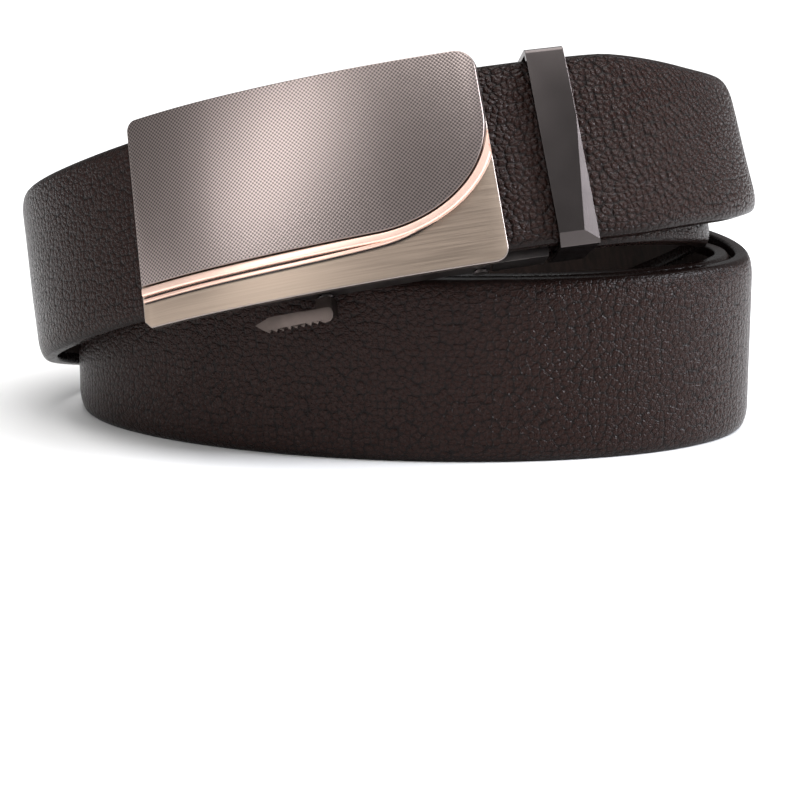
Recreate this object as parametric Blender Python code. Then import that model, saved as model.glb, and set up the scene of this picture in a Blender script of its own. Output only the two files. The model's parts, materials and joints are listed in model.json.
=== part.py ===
"""Dress belt: a coiled leather strap with a ratchet buckle, keeper and clamp.

Metres, +Z up. The strap stands on its lower edge in three turns. The two
outer ends of the coil lean together on one tilted plane, where the buckle
closes over them at the front, on the -Y side.
"""

import math
from bisect import bisect_right

import bmesh
import bpy
from mathutils import Matrix, Vector

# Strap
STRAP_WIDTH = 0.035
STRAP_THICK = 0.0036
SHOULDER = 0.0045
STRAP_FOOT = 0.0016
TIP_TAPER_LENGTH = 0.044
TIP_END_WIDTH = 0.026
TIP_CORNER = 0.0045
TIP_BULGE = 0.0012

# Coil
COIL_HALF_LENGTH = 0.068
COIL_HALF_DEPTH = 0.041
COIL_YAW = math.radians(-9.7)
COIL_GAP = 0.0005
RING_TILT = math.radians(19.0)
RING_ROLL = math.radians(6.0)
RING_BEARING = math.radians(118.5)
RING_LIFT = 0.0045
SECTION_STEP = math.radians(7.5)

# Buckle face
FACE_LENGTH = 0.0672
FACE_HEIGHT = 0.0396
FACE_DROP = 0.0006
BASE_THICK = 0.0016
PANEL_THICK = 0.0012
FACE_BEVEL = 0.0004
TRIM_WIDTH = 0.0015
BEAD_WIDTH = 0.0006
BEAD_THICK = 0.0007
BEAD_SPACE = 0.0005
TRIM_LEFT_SHARE = 0.805
TRIM_HEIGHT_SHARE = 0.785
TRIM_TURN_SHARE = 0.67
TRIM_END_SHARE = 0.31
BEAD_END_SHARE = 0.78
CORNER_TOP_LEFT = 0.0020
CORNER_TOP_RIGHT = 0.0035
CORNER_LOW_LEFT = 0.0014
CORNER_LOW_RIGHT = 0.0025

# Buckle frame and clamp
SHEET = 0.0009
RIM = 0.0001
FRAME_LEFT = 0.014
FRAME_RIGHT = 0.0310
FRAME_DEPTH = 0.0072
GUIDE_LENGTH = 0.005
HINGE_AT = 0.0290
HINGE_RADIUS = 0.0008
CLAMP_START = 0.0315
CLAMP_END = 0.0420
KNUCKLE_WALL = 0.0008
PIN_HEAD = 0.0004

# Ratchet
TRACK_WIDTH = 0.009
TRACK_THICK = 0.0009
TRACK_TOOTH = 0.0005
TRACK_PITCH = 0.00635
TRACK_TEETH = 19
TRACK_AHEAD = 9
PIVOT_AT = -0.0009
PIVOT_RADIUS = 0.0009
PAWL_REACH = 0.0085
PAWL_WIDTH = 0.0080
PAWL_THICK = 0.0014
LEVER_LENGTH = 0.0143
LEVER_HEIGHT = 0.0030
LEVER_DROP = 0.0012
LEVER_THICK = 0.0011
LEVER_TEETH = 9
LEVER_NOTCH = 0.0006

# Keeper
KEEPER_AT = 0.0430
KEEPER_WIDTH = 0.0072
KEEPER_WALL = 0.0010
KEEPER_BEVEL = 0.0005

# Clearances
SEAT_GAP = 0.0003
SLIDE_GAP = 0.0004
BEND_STEP = 0.004

# Stations of the strap from its clamped end to its tip: the turning angle in
# degrees, how many strap layers it lies outside the coil's oval, how far it
# leans into the tilted ring, from 0 for level to 1, and how much of the roll
# about its own lower edge it has, from 0 to 1
STACK = STRAP_THICK + SEAT_GAP + TRACK_THICK + SLIDE_GAP + SHEET + SEAT_GAP
LAYER = STRAP_THICK + COIL_GAP
STACK_LAYERS = STACK / LAYER
BUCKLE_ANGLE = 987.0
COIL_TURNS = 3
BUCKLE_LAYERS = 3.40
HEAD_LAYERS = BUCKLE_LAYERS - STACK_LAYERS
ROUTE = (
    (-80.0, HEAD_LAYERS, 1.00, 1.00),
    (-50.0, HEAD_LAYERS, 1.00, 1.00),
    (-30.0, 0.45, 1.00, 0.60),
    (0.0, -1.35, 1.00, 0.00),
    (25.0, -2.20, 0.97, 0.00),
    (50.0, -3.00, 0.88, 0.00),
    (90.0, -3.35, 0.70, 0.00),
    (135.0, -3.10, 0.50, 0.00),
    (180.0, -2.60, 0.30, 0.00),
    (225.0, -1.75, 0.12, 0.00),
    (270.0, -1.15, 0.00, 0.00),
    (315.0, -1.06, 0.00, 0.00),
    (360.0, -1.00, 0.00, 0.00),
    (405.0, -0.85, 0.00, 0.00),
    (450.0, -0.50, 0.00, 0.00),
    (495.0, -0.15, 0.00, 0.00),
    (540.0, 0.00, 0.00, 0.00),
    (630.0, 0.00, 0.00, 0.00),
    (720.0, 0.00, 0.00, 0.00),
    (765.0, 0.40, 0.10, 0.00),
    (810.0, 0.90, 0.45, 0.00),
    (855.0, 1.20, 0.85, 0.00),
    (900.0, 1.60, 1.00, 0.10),
    (945.0, 2.50, 1.00, 0.70),
    (975.0, 3.30, 1.00, 0.95),
    (1000.0, BUCKLE_LAYERS, 1.00, 1.00),
    (1030.0, BUCKLE_LAYERS, 1.00, 1.00),
    (1050.0, 2.70, 1.00, 1.00),
    (1078.0, 1.45, 1.045, 0.60),
)

COLLECTION = "dress_belt"
CUTTERS = "cutters"


def clear_scene():
    """Remove every object so that the script can be run again."""
    for item in list(bpy.data.objects):
        bpy.data.objects.remove(item, do_unlink=True)
    for name in (COLLECTION, CUTTERS):
        group = bpy.data.collections.get(name)
        if group:
            bpy.data.collections.remove(group)


def new_collection(name):
    """Make a collection in the scene."""
    group = bpy.data.collections.new(name)
    bpy.context.scene.collection.children.link(group)
    return group


def material(name, color, roughness, metallic):
    """Return a Principled material with the given values."""
    result = bpy.data.materials.new(name)
    result.use_nodes = True
    shader = result.node_tree.nodes["Principled BSDF"]
    shader.inputs["Base Color"].default_value = (*color, 1.0)
    shader.inputs["Roughness"].default_value = roughness
    shader.inputs["Metallic"].default_value = metallic
    return result


class Table:
    """A smooth curve through rows of numbers that never overshoots a row."""

    def __init__(self, keys, values):
        self.keys = keys
        self.values = values
        steps = [b - a for a, b in zip(keys, keys[1:])]
        rises = [(b - a) / h for a, b, h in zip(values, values[1:], steps)]
        self.slopes = [rises[0]]
        for before, after in zip(rises, rises[1:]):
            level = before * after <= 0.0
            self.slopes.append(0.0 if level else 2.0 * before * after / (before + after))
        self.slopes.append(rises[-1])

    def at(self, key):
        """Return the value at a key between the first and last rows."""
        row = bisect_right(self.keys, key) - 1
        row = min(max(row, 0), len(self.keys) - 2)
        step = self.keys[row + 1] - self.keys[row]
        t = (key - self.keys[row]) / step
        start = (2 * t**3 - 3 * t**2 + 1) * self.values[row]
        end = (3 * t**2 - 2 * t**3) * self.values[row + 1]
        leave = (t**3 - 2 * t**2 + t) * step * self.slopes[row]
        arrive = (t**3 - t**2) * step * self.slopes[row + 1]
        return start + end + leave + arrive


class Route:
    """The strap's middle line, with its width and outward directions."""

    FINE = math.radians(0.5)
    NUDGE = math.radians(0.05)

    def __init__(self, rows):
        angles = [math.radians(row[0]) for row in rows]
        self.layers = Table(angles, [row[1] for row in rows])
        self.lean = Table(angles, [row[2] for row in rows])
        self.roll = Table(angles, [row[3] for row in rows])
        self.first = angles[0]
        self.last = angles[-1]
        self.away = Vector((math.cos(RING_BEARING), math.sin(RING_BEARING), 0.0))
        turn = RING_BEARING - COIL_YAW
        reach = math.hypot(COIL_HALF_LENGTH * math.cos(turn), COIL_HALF_DEPTH * math.sin(turn))
        self.hinge = (STRAP_WIDTH + RING_LIFT) / math.sin(RING_TILT) - reach
        count = math.ceil((self.last - self.first) / self.FINE)
        self.angles = [self.first + (self.last - self.first) * i / count for i in range(count + 1)]
        points = [self.middle(angle) for angle in self.angles]
        self.lengths = [0.0]
        for a, b in zip(points, points[1:]):
            self.lengths.append(self.lengths[-1] + (b - a).length)

    def level_point(self, angle):
        """Return the strap's foot on the floor plan at a turning angle."""
        along, across = math.cos(angle), math.sin(angle)
        out = Vector((along / COIL_HALF_LENGTH, across / COIL_HALF_DEPTH, 0.0)).normalized()
        point = Vector((COIL_HALF_LENGTH * along, COIL_HALF_DEPTH * across, 0.0))
        point += out * LAYER * self.layers.at(angle)
        return Matrix.Rotation(COIL_YAW, 3, "Z") @ point

    def foot(self, angle):
        """Return the lower edge's middle, turned up about the ring's hinge line.

        A layer inside the buckle's own sits lower by its depth times the slope
        of the roll, so that rolled layers stay face to face.
        """
        point = self.level_point(angle)
        lean = RING_TILT * self.lean.at(angle)
        reach = self.hinge - point.dot(self.away)
        point += self.away * reach * (1.0 - math.cos(lean))
        point.z = reach * math.sin(lean)
        depth = (BUCKLE_LAYERS - self.layers.at(angle)) * LAYER
        drop = depth * math.tan(RING_ROLL * self.roll.at(angle))
        return point - self.upright(lean) * drop

    def upright(self, lean):
        """Return the width direction of a strap that leans without a roll."""
        return self.away * math.sin(lean) + Vector((0.0, 0.0, math.cos(lean)))

    def rise(self, angle):
        """Return the strap's width direction."""
        upright = self.upright(RING_TILT * self.lean.at(angle))
        tangent = (self.foot(angle + self.NUDGE) - self.foot(angle - self.NUDGE)).normalized()
        upright = (upright - tangent * upright.dot(tangent)).normalized()
        roll = RING_ROLL * self.roll.at(angle)
        return upright * math.cos(roll) - tangent.cross(upright) * math.sin(roll)

    def middle(self, angle):
        """Return the middle of the strap."""
        return self.foot(angle) + self.rise(angle) * STRAP_WIDTH / 2

    def frame(self, angle):
        """Return middle, tangent, width and outward directions at an angle."""
        tangent = self.middle(angle + self.NUDGE) - self.middle(angle - self.NUDGE)
        tangent.normalize()
        rise = self.rise(angle)
        rise = (rise - tangent * rise.dot(tangent)).normalized()
        return self.middle(angle), tangent, rise, tangent.cross(rise)

    def angle_at(self, length):
        """Return the turning angle at a length from the clamped end."""
        row = min(max(bisect_right(self.lengths, length) - 1, 0), len(self.lengths) - 2)
        step = self.lengths[row + 1] - self.lengths[row]
        share = (length - self.lengths[row]) / step
        return self.angles[row] + (self.angles[row + 1] - self.angles[row]) * share

    def length_at(self, angle):
        """Return the length from the clamped end at a turning angle."""
        row = min(max(bisect_right(self.angles, angle) - 1, 0), len(self.angles) - 2)
        step = self.angles[row + 1] - self.angles[row]
        share = (angle - self.angles[row]) / step
        return self.lengths[row] + (self.lengths[row + 1] - self.lengths[row]) * share

    def place(self, length, across, out):
        """Return the point at a length, a height across and a distance outward."""
        middle, _, rise, outward = self.frame(self.angle_at(length))
        return middle + rise * across + outward * out


def strap_section(half_width):
    """Return the strap's section as (across, out) pairs, padded on its outer side."""
    half = STRAP_THICK / 2
    shoulder = min(SHOULDER, half_width * 0.8)
    upper = [
        (half_width - STRAP_THICK * 0.14, -half),
        (half_width, -half + STRAP_THICK * 0.14),
        (half_width, -half + STRAP_THICK * 0.14 + STRAP_FOOT),
        (half_width - shoulder * 0.10, half - STRAP_THICK * 0.30),
        (half_width - shoulder * 0.42, half - STRAP_THICK * 0.09),
        (half_width - shoulder, half),
    ]
    lower = [(-across, out) for across, out in reversed(upper)]
    return upper + lower


def tip_half_width(left):
    """Return half the strap's width at a distance from the end of the tip."""
    full = STRAP_WIDTH / 2
    end = TIP_END_WIDTH / 2
    if left >= TIP_TAPER_LENGTH:
        return full
    width = end + (full - end) * left / TIP_TAPER_LENGTH
    if left < TIP_CORNER:
        width -= TIP_CORNER - math.sqrt(TIP_CORNER**2 - (TIP_CORNER - left) ** 2)
    return width


def clamped_angle(route):
    """Return the turning angle where the strap's fixed end sits in the clamp."""
    station = route.length_at(math.radians(BUCKLE_ANGLE))
    above = route.angle_at(station + CLAMP_START + SHEET + SEAT_GAP)
    return above - COIL_TURNS * 2.0 * math.pi


def strap_stations(route):
    """Return the lengths along the route at which the strap has a section."""
    total = route.lengths[-1]
    angle = clamped_angle(route)
    stations = []
    while route.length_at(angle) < total - TIP_TAPER_LENGTH:
        stations.append(route.length_at(angle))
        angle += SECTION_STEP
    tip = [TIP_TAPER_LENGTH * share for share in (1.0, 0.8, 0.6, 0.42, 0.26)]
    tip += [TIP_CORNER * share for share in (1.0, 0.6, 0.3, 0.1, 0.0)]
    return stations + [total - left for left in tip]


def loft(sections):
    """Join rings of points into one closed mesh with capped ends."""
    mesh = bmesh.new()
    rings = [[mesh.verts.new(point) for point in ring] for ring in sections]
    count = len(rings[0])
    for a, b in zip(rings, rings[1:]):
        for i in range(count):
            j = (i + 1) % count
            mesh.faces.new((a[i], a[j], b[j], b[i]))
    mesh.faces.new(list(reversed(rings[0])))
    mesh.faces.new(rings[-1])
    bmesh.ops.recalc_face_normals(mesh, faces=mesh.faces)
    return mesh


def finish_mesh(name, mesh, group, parent, look, smooth=True):
    """Turn a bmesh into an object with a material under a parent."""
    if mesh.calc_volume(signed=True) < 0.0:
        bmesh.ops.reverse_faces(mesh, faces=mesh.faces)
    data = bpy.data.meshes.new(name)
    mesh.to_mesh(data)
    mesh.free()
    item = bpy.data.objects.new(name, data)
    group.objects.link(item)
    item.parent = parent
    data.materials.append(look)
    if smooth:
        data.shade_smooth()
        data.set_sharp_from_angle(angle=math.radians(35.0))
    return item


def make_strap(route, group, parent, look):
    """Build the strap as a loft of padded sections along its route."""
    total = route.lengths[-1]
    sections = []
    for length in strap_stations(route):
        middle, tangent, rise, outward = route.frame(route.angle_at(length))
        left = total - length
        half_width = tip_half_width(left)
        bulge = tangent * TIP_BULGE * max(0.0, 1.0 - left / TIP_CORNER)
        ring = []
        for across, out in strap_section(half_width):
            ring.append(middle + rise * across + outward * out + bulge)
        sections.append(ring)
    return finish_mesh("strap", loft(sections), group, parent, look)


def block(low, high):
    """Return a box as a bmesh, from its lowest to its highest corner."""
    mesh = bmesh.new()
    bmesh.ops.create_cube(mesh, size=1.0)
    size = [b - a for a, b in zip(low, high)]
    centre = [(a + b) / 2 for a, b in zip(low, high)]
    bmesh.ops.scale(mesh, vec=size, verts=mesh.verts)
    bmesh.ops.translate(mesh, vec=centre, verts=mesh.verts)
    return mesh


def rod(radius, bottom, top, along, out, sides=16):
    """Return a round bar across the strap, as a bmesh."""
    mesh = bmesh.new()
    bmesh.ops.create_cone(
        mesh, cap_ends=True, segments=sides, radius1=radius, radius2=radius, depth=top - bottom
    )
    bmesh.ops.rotate(mesh, verts=mesh.verts, matrix=Matrix.Rotation(-math.pi / 2, 3, "X"))
    bmesh.ops.translate(mesh, verts=mesh.verts, vec=(along, (top + bottom) / 2, out))
    return mesh


def outline_slab(points, thickness):
    """Return a flat outline, given as points, thickened about its own plane."""
    curve = bpy.data.curves.new("outline", "CURVE")
    curve.dimensions = "2D"
    curve.fill_mode = "BOTH"
    curve.extrude = thickness / 2
    spline = curve.splines.new("POLY")
    spline.points.add(len(points) - 1)
    for point, (x, y) in zip(spline.points, points):
        point.co = (x, y, 0.0, 1.0)
    spline.use_cyclic_u = True
    item = bpy.data.objects.new("outline", curve)
    bpy.context.scene.collection.objects.link(item)
    bpy.context.view_layer.update()
    data = bpy.data.meshes.new_from_object(item.evaluated_get(bpy.context.evaluated_depsgraph_get()))
    mesh = bmesh.new()
    mesh.from_mesh(data)
    bmesh.ops.remove_doubles(mesh, verts=mesh.verts, dist=0.000001)
    bpy.data.objects.remove(item, do_unlink=True)
    bpy.data.curves.remove(curve)
    bpy.data.meshes.remove(data)
    bmesh.ops.recalc_face_normals(mesh, faces=mesh.faces)
    return mesh


def place_on_face(mesh, back, thickness):
    """Set a slab of the buckle's face with its back at a distance outward."""
    bmesh.ops.translate(mesh, verts=mesh.verts, vec=(0.0, -FACE_DROP, back + thickness / 2))


def turn_to_side(mesh, height):
    """Stand a slab drawn as (along, out) up, across the strap at a height."""
    for vertex in mesh.verts:
        x, y, z = vertex.co
        vertex.co = (x, height - z, y)
    bmesh.ops.recalc_face_normals(mesh, faces=mesh.faces)
    return mesh


def combine(mesh, others, cutters, operation):
    """Return a mesh joined with, or cut by, other meshes."""
    data = bpy.data.meshes.new("work")
    mesh.to_mesh(data)
    mesh.free()
    item = bpy.data.objects.new("work", data)
    cutters.objects.link(item)
    tools = []
    for other in others:
        tool_data = bpy.data.meshes.new("tool")
        other.to_mesh(tool_data)
        other.free()
        tool = bpy.data.objects.new("tool", tool_data)
        tool.display_type = "WIRE"
        tool.hide_render = True
        cutters.objects.link(tool)
        step = item.modifiers.new("step", "BOOLEAN")
        step.operation = operation
        step.solver = "EXACT"
        step.object = tool
        tools.append(tool)
    bpy.context.view_layer.update()
    result = bmesh.new()
    evaluated = item.evaluated_get(bpy.context.evaluated_depsgraph_get())
    result.from_mesh(evaluated.to_mesh())
    evaluated.to_mesh_clear()
    for used in tools + [item]:
        used_data = used.data
        bpy.data.objects.remove(used, do_unlink=True)
        bpy.data.meshes.remove(used_data)
    bmesh.ops.remove_doubles(result, verts=result.verts, dist=0.000001)
    return result


class Buckle:
    """Bends pieces drawn flat as (along, across, out) onto the strap's route."""

    def __init__(self, route, group, root):
        self.route = route
        self.group = group
        self.station = route.length_at(math.radians(BUCKLE_ANGLE))
        self.curvature = self.curvature_at(FACE_LENGTH / 2)
        self.empty = self.place_empty("buckle_place", 0.0, 0.0, root)
        self.pivot = self.place_empty("lever_pivot", PIVOT_AT, PIVOT_OUT, root)

    def curvature_at(self, reach):
        """Return the strap's mean curvature over a reach each side of the buckle."""
        angles = [self.route.angle_at(self.station + along) for along in (-reach, reach)]
        before, after = [self.route.frame(angle)[1] for angle in angles]
        return before.angle(after) / (2.0 * reach)

    def place_empty(self, name, along, out, root):
        """Put an empty on the route, turned to the strap's directions there."""
        middle, tangent, rise, outward = self.route.frame(
            self.route.angle_at(self.station + along)
        )
        turn = Matrix((tangent, rise, outward)).transposed()
        empty = bpy.data.objects.new(name, None)
        self.group.objects.link(empty)
        empty.parent = root
        empty.location = middle + outward * out
        empty.rotation_euler = turn.to_euler()
        return empty

    def bend(self, name, mesh, look, parent=None, smooth=True, step=BEND_STEP):
        """Cut a flat piece into short steps, bend it onto the route and finish it."""
        parent = parent or self.empty
        first = min(vertex.co.x for vertex in mesh.verts)
        last = max(vertex.co.x for vertex in mesh.verts)
        cut = math.ceil(first / step) * step
        while cut < last:
            if first + SEAT_GAP < cut < last - SEAT_GAP:
                geometry = mesh.verts[:] + mesh.edges[:] + mesh.faces[:]
                bmesh.ops.bisect_plane(
                    mesh, geom=geometry, dist=0.000001, plane_co=(cut, 0, 0), plane_no=(1, 0, 0)
                )
            cut += step
        bpy.context.view_layer.update()
        inverse = Matrix.LocRotScale(parent.location, parent.rotation_euler, None).inverted()
        for vertex in mesh.verts:
            along, across, out = vertex.co
            along *= 1.0 - max(0.0, out - BASE_FRONT) * self.curvature
            vertex.co = inverse @ self.route.place(self.station + along, across, out)
        return finish_mesh(name, mesh, self.group, parent, look, smooth)


# Distances outward from the strap's middle
STRAP_FACE = STRAP_THICK / 2
WEB_BACK = STRAP_FACE + SLIDE_GAP
WEB_FRONT = WEB_BACK + SHEET
BASE_BACK = WEB_FRONT + SEAT_GAP
BASE_FRONT = BASE_BACK + BASE_THICK
PANEL_BACK = BASE_FRONT + SEAT_GAP
TRACK_BACK = -STRAP_FACE - SEAT_GAP - TRACK_THICK
FIXED_FACE = -STACK + STRAP_FACE
CLAMP_WEB_BACK = FIXED_FACE + SEAT_GAP
CLAMP_FLOOR = -STACK - STRAP_FACE - SEAT_GAP
WALL_INSIDE = STRAP_WIDTH / 2 + SLIDE_GAP
WALL_OUTSIDE = WALL_INSIDE + SHEET
PIVOT_OUT = TRACK_BACK - SLIDE_GAP - PIVOT_RADIUS - SEAT_GAP - PAWL_THICK / 2


def arc(centre, radii, start, end, steps):
    """Return points on an ellipse's arc, with angles in degrees."""
    points = []
    for i in range(steps + 1):
        angle = math.radians(start + (end - start) * i / steps)
        points.append(
            (centre[0] + radii[0] * math.cos(angle), centre[1] + radii[1] * math.sin(angle))
        )
    return points


def trim_curve(inset, start=0.0, end=1.0):
    """Return the trim's curve across the face, moved inset towards the lower right."""
    left = -FACE_LENGTH / 2
    turn = left + FACE_LENGTH * TRIM_TURN_SHARE
    top = FACE_HEIGHT / 2
    centre_y = top - FACE_HEIGHT * TRIM_END_SHARE
    drop = FACE_HEIGHT * (TRIM_HEIGHT_SHARE - TRIM_END_SHARE)
    run = FACE_LENGTH / 2 - turn
    sweep = arc((turn, centre_y), (run, drop), 270.0, 360.0, 14)
    curve = [(left, top - FACE_HEIGHT * TRIM_LEFT_SHARE)] + sweep
    moved = []
    for index, (x, y) in enumerate(curve):
        before = curve[max(index - 1, 0)]
        after = curve[min(index + 1, len(curve) - 1)]
        slope = Vector((after[0] - before[0], after[1] - before[1])).normalized()
        moved.append((x + slope.y * inset, y - slope.x * inset))
    moved[0] = (left, moved[0][1])
    low = left + FACE_LENGTH * start
    high = left + FACE_LENGTH * end
    inside = [(x, y) for x, y in moved if low <= x <= high]
    return inside


def make_base_plate(buckle, look):
    """Build the brushed plate that the whole face lies on."""
    x = FACE_LENGTH / 2
    y = FACE_HEIGHT / 2
    points = []
    for sign_x, sign_y, radius, start in (
        (1, 1, CORNER_TOP_RIGHT, 0.0),
        (-1, 1, CORNER_TOP_LEFT, 90.0),
        (-1, -1, CORNER_LOW_LEFT, 180.0),
        (1, -1, CORNER_LOW_RIGHT, 270.0),
    ):
        centre = (sign_x * (x - radius), sign_y * (y - radius))
        points += arc(centre, (radius, radius), start, start + 90.0, 4)
    mesh = outline_slab(points, BASE_THICK)
    bevel_front(mesh)
    place_on_face(mesh, BASE_BACK, BASE_THICK)
    return buckle.bend("base_plate", mesh, look)


def bevel_front(mesh):
    """Round the edge between a slab's front face and its sides."""
    front = max(vertex.co.z for vertex in mesh.verts)
    rim = []
    for edge in mesh.edges:
        level = all(abs(vertex.co.z - front) < 0.000001 for vertex in edge.verts)
        if level and len(edge.link_faces) == 2 and edge.calc_face_angle() > 0.5:
            rim.append(edge)
    bmesh.ops.bevel(
        mesh, geom=rim, offset=FACE_BEVEL, segments=2, profile=0.5, affect="EDGES", material=-1
    )


def make_panel(buckle, look):
    """Build the woven panel that covers the upper left of the face."""
    x = FACE_LENGTH / 2
    y = FACE_HEIGHT / 2
    curve = trim_curve(0.0)
    right = (x - CORNER_TOP_RIGHT, y - CORNER_TOP_RIGHT)
    left = (-x + CORNER_TOP_LEFT, y - CORNER_TOP_LEFT)
    points = list(curve)
    points += arc(right, (CORNER_TOP_RIGHT, CORNER_TOP_RIGHT), 0.0, 90.0, 4)
    points += arc(left, (CORNER_TOP_LEFT, CORNER_TOP_LEFT), 90.0, 180.0, 4)
    mesh = outline_slab(points, PANEL_THICK)
    place_on_face(mesh, PANEL_BACK, PANEL_THICK)
    return buckle.bend("textured_panel", mesh, look)


def make_trim(buckle, look):
    """Build the bright band along the panel's lower and right edge."""
    near = trim_curve(SEAT_GAP)
    far = trim_curve(SEAT_GAP + TRIM_WIDTH)
    limit = FACE_LENGTH / 2
    far = [(min(x, limit), y) for x, y in far if x <= limit + TRIM_WIDTH]
    near = [(x, y) for x, y in near if x <= limit]
    far_end = [point for point in far if point[0] < limit]
    last = far_end[-1]
    slope = Vector((last[0] - far_end[-2][0], last[1] - far_end[-2][1]))
    rise = slope.y / slope.x
    close = [(limit, last[1] + rise * (limit - last[0]))]
    inner = near[-1]
    slope = Vector((inner[0] - near[-2][0], inner[1] - near[-2][1]))
    top = [(limit, inner[1] + slope.y / slope.x * (limit - inner[0]))]
    points = far_end + close + top + list(reversed(near))
    mesh = outline_slab(points, PANEL_THICK)
    place_on_face(mesh, PANEL_BACK, PANEL_THICK)
    return buckle.bend("curved_trim", mesh, look)


def make_bead(buckle, look):
    """Build the thin second line below the band."""
    start = SEAT_GAP + TRIM_WIDTH + BEAD_SPACE
    near = trim_curve(start, end=BEAD_END_SHARE)
    far = trim_curve(start + BEAD_WIDTH, end=BEAD_END_SHARE)
    points = far + list(reversed(near))
    mesh = outline_slab(points, BEAD_THICK)
    place_on_face(mesh, PANEL_BACK, BEAD_THICK)
    return buckle.bend("trim_bead", mesh, look)


def make_frame(buckle, cutters, look):
    """Build the channel behind the face, with its guide bar and pin holes."""
    guide_top = TRACK_BACK - SLIDE_GAP
    guide_back = guide_top - SHEET
    side = [
        (-FRAME_LEFT, WEB_FRONT),
        (-FRAME_LEFT, guide_back - RIM),
        (-FRAME_LEFT + GUIDE_LENGTH * 1.4, guide_back - RIM),
        (PIVOT_AT - PIVOT_RADIUS * 4, -FRAME_DEPTH),
        (FRAME_RIGHT, -FRAME_DEPTH - SHEET),
        (FRAME_RIGHT, WEB_FRONT),
    ]
    middle = (WALL_INSIDE + WALL_OUTSIDE) / 2
    web = block(
        (-FRAME_LEFT + RIM, -middle, WEB_BACK), (FRAME_RIGHT - RIM, middle, WEB_FRONT - RIM)
    )
    lower = turn_to_side(outline_slab(side, SHEET), -middle)
    upper = turn_to_side(outline_slab(side, SHEET), middle)
    guide = block(
        (-FRAME_LEFT + RIM, -middle, guide_back), (-FRAME_LEFT + GUIDE_LENGTH, middle, guide_top)
    )
    mesh = combine(web, [lower, upper, guide], cutters, "UNION")
    reach = WALL_OUTSIDE + SHEET
    holes = [
        rod(PIVOT_RADIUS + SEAT_GAP, -reach, reach, PIVOT_AT, PIVOT_OUT),
        rod(HINGE_RADIUS + SEAT_GAP, -reach, reach, HINGE_AT, -STACK),
    ]
    mesh = combine(mesh, holes, cutters, "DIFFERENCE")
    return buckle.bend("buckle_frame", mesh, look)


def make_clamp(buckle, cutters, look):
    """Build the sleeve that grips the strap's fixed end, with its knuckle."""
    inside = STRAP_WIDTH / 2 + SEAT_GAP
    outside = inside + SHEET
    knuckle_half = WALL_INSIDE - SEAT_GAP
    knuckle_radius = HINGE_RADIUS + SEAT_GAP + KNUCKLE_WALL
    front = CLAMP_WEB_BACK + SHEET
    back = CLAMP_FLOOR - SHEET
    sleeve = block((CLAMP_START, -outside, back), (CLAMP_END, outside, front))
    space = block(
        (CLAMP_START + SHEET, -inside, CLAMP_FLOOR), (CLAMP_END + SHEET, inside, CLAMP_WEB_BACK)
    )
    sleeve = combine(sleeve, [space], cutters, "DIFFERENCE")
    knuckle = rod(knuckle_radius, -knuckle_half, knuckle_half, HINGE_AT, -STACK)
    neck = block(
        (HINGE_AT, -knuckle_half + RIM, -STACK - SHEET / 2),
        (CLAMP_START + SHEET / 2, knuckle_half - RIM, -STACK + SHEET / 2),
    )
    mesh = combine(sleeve, [neck, knuckle], cutters, "UNION")
    reach = WALL_OUTSIDE + SHEET
    hole = rod(HINGE_RADIUS + SEAT_GAP, -reach, reach, HINGE_AT, -STACK)
    mesh = combine(mesh, [hole], cutters, "DIFFERENCE")
    return buckle.bend("strap_clamp", mesh, look)


def make_pin(buckle, name, radius, along, out, parent, cutters, look):
    """Build a pin across the frame with a flat head outside each wall."""
    end = WALL_OUTSIDE + SEAT_GAP
    heads = []
    for sign in (-1, 1):
        low, high = sorted((sign * end, sign * (end + PIN_HEAD)))
        heads.append(rod(radius + SEAT_GAP * 2, low, high, along, out))
    shaft = rod(radius, -end - PIN_HEAD / 2, end + PIN_HEAD / 2, along, out)
    mesh = combine(shaft, heads, cutters, "UNION")
    return buckle.bend(name, mesh, look, parent)


def make_track(buckle, look):
    """Build the toothed strip behind the tip end of the strap."""
    base = TRACK_BACK + TRACK_THICK
    valley = TRACK_BACK + TRACK_TOOTH
    tooth_at = PIVOT_AT + PAWL_REACH
    end = tooth_at + TRACK_PITCH * TRACK_AHEAD
    points = [(end, base)]
    for index in range(TRACK_TEETH):
        high = end - TRACK_PITCH * index
        points.append((high, valley))
        points.append((high - TRACK_PITCH * 0.12, valley))
        points.append((high - TRACK_PITCH * 0.12, TRACK_BACK))
        points.append((high - TRACK_PITCH * 0.45, TRACK_BACK))
    start = end - TRACK_PITCH * TRACK_TEETH
    points.append((start, valley))
    points.append((start, base))
    mesh = turn_to_side(outline_slab(points, TRACK_WIDTH), 0.0)
    return buckle.bend("ratchet_track", mesh, look, smooth=False, step=TRACK_PITCH)


def make_pawl(buckle, cutters, look):
    """Build the tooth that rests in the track, on its barrel round the pin."""
    half = PAWL_WIDTH / 2
    hole = PIVOT_RADIUS + SEAT_GAP
    barrel_radius = hole + KNUCKLE_WALL
    barrel = rod(barrel_radius, -half, half, PIVOT_AT, PIVOT_OUT)
    nose = TRACK_BACK - SLIDE_GAP
    side = [
        (PIVOT_AT, PIVOT_OUT - PAWL_THICK / 2),
        (PIVOT_AT + PAWL_REACH, nose - PAWL_THICK),
        (PIVOT_AT + PAWL_REACH, nose + SLIDE_GAP),
        (PIVOT_AT + PAWL_REACH - PAWL_THICK, nose),
        (PIVOT_AT, PIVOT_OUT + PAWL_THICK / 2),
    ]
    arm = turn_to_side(outline_slab(side, PAWL_WIDTH), 0.0)
    mesh = combine(barrel, [arm], cutters, "UNION")
    bore = rod(hole, -PAWL_WIDTH, PAWL_WIDTH, PIVOT_AT, PIVOT_OUT)
    mesh = combine(mesh, [bore], cutters, "DIFFERENCE")
    return buckle.bend("pawl", mesh, look, buckle.pivot)


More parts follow.
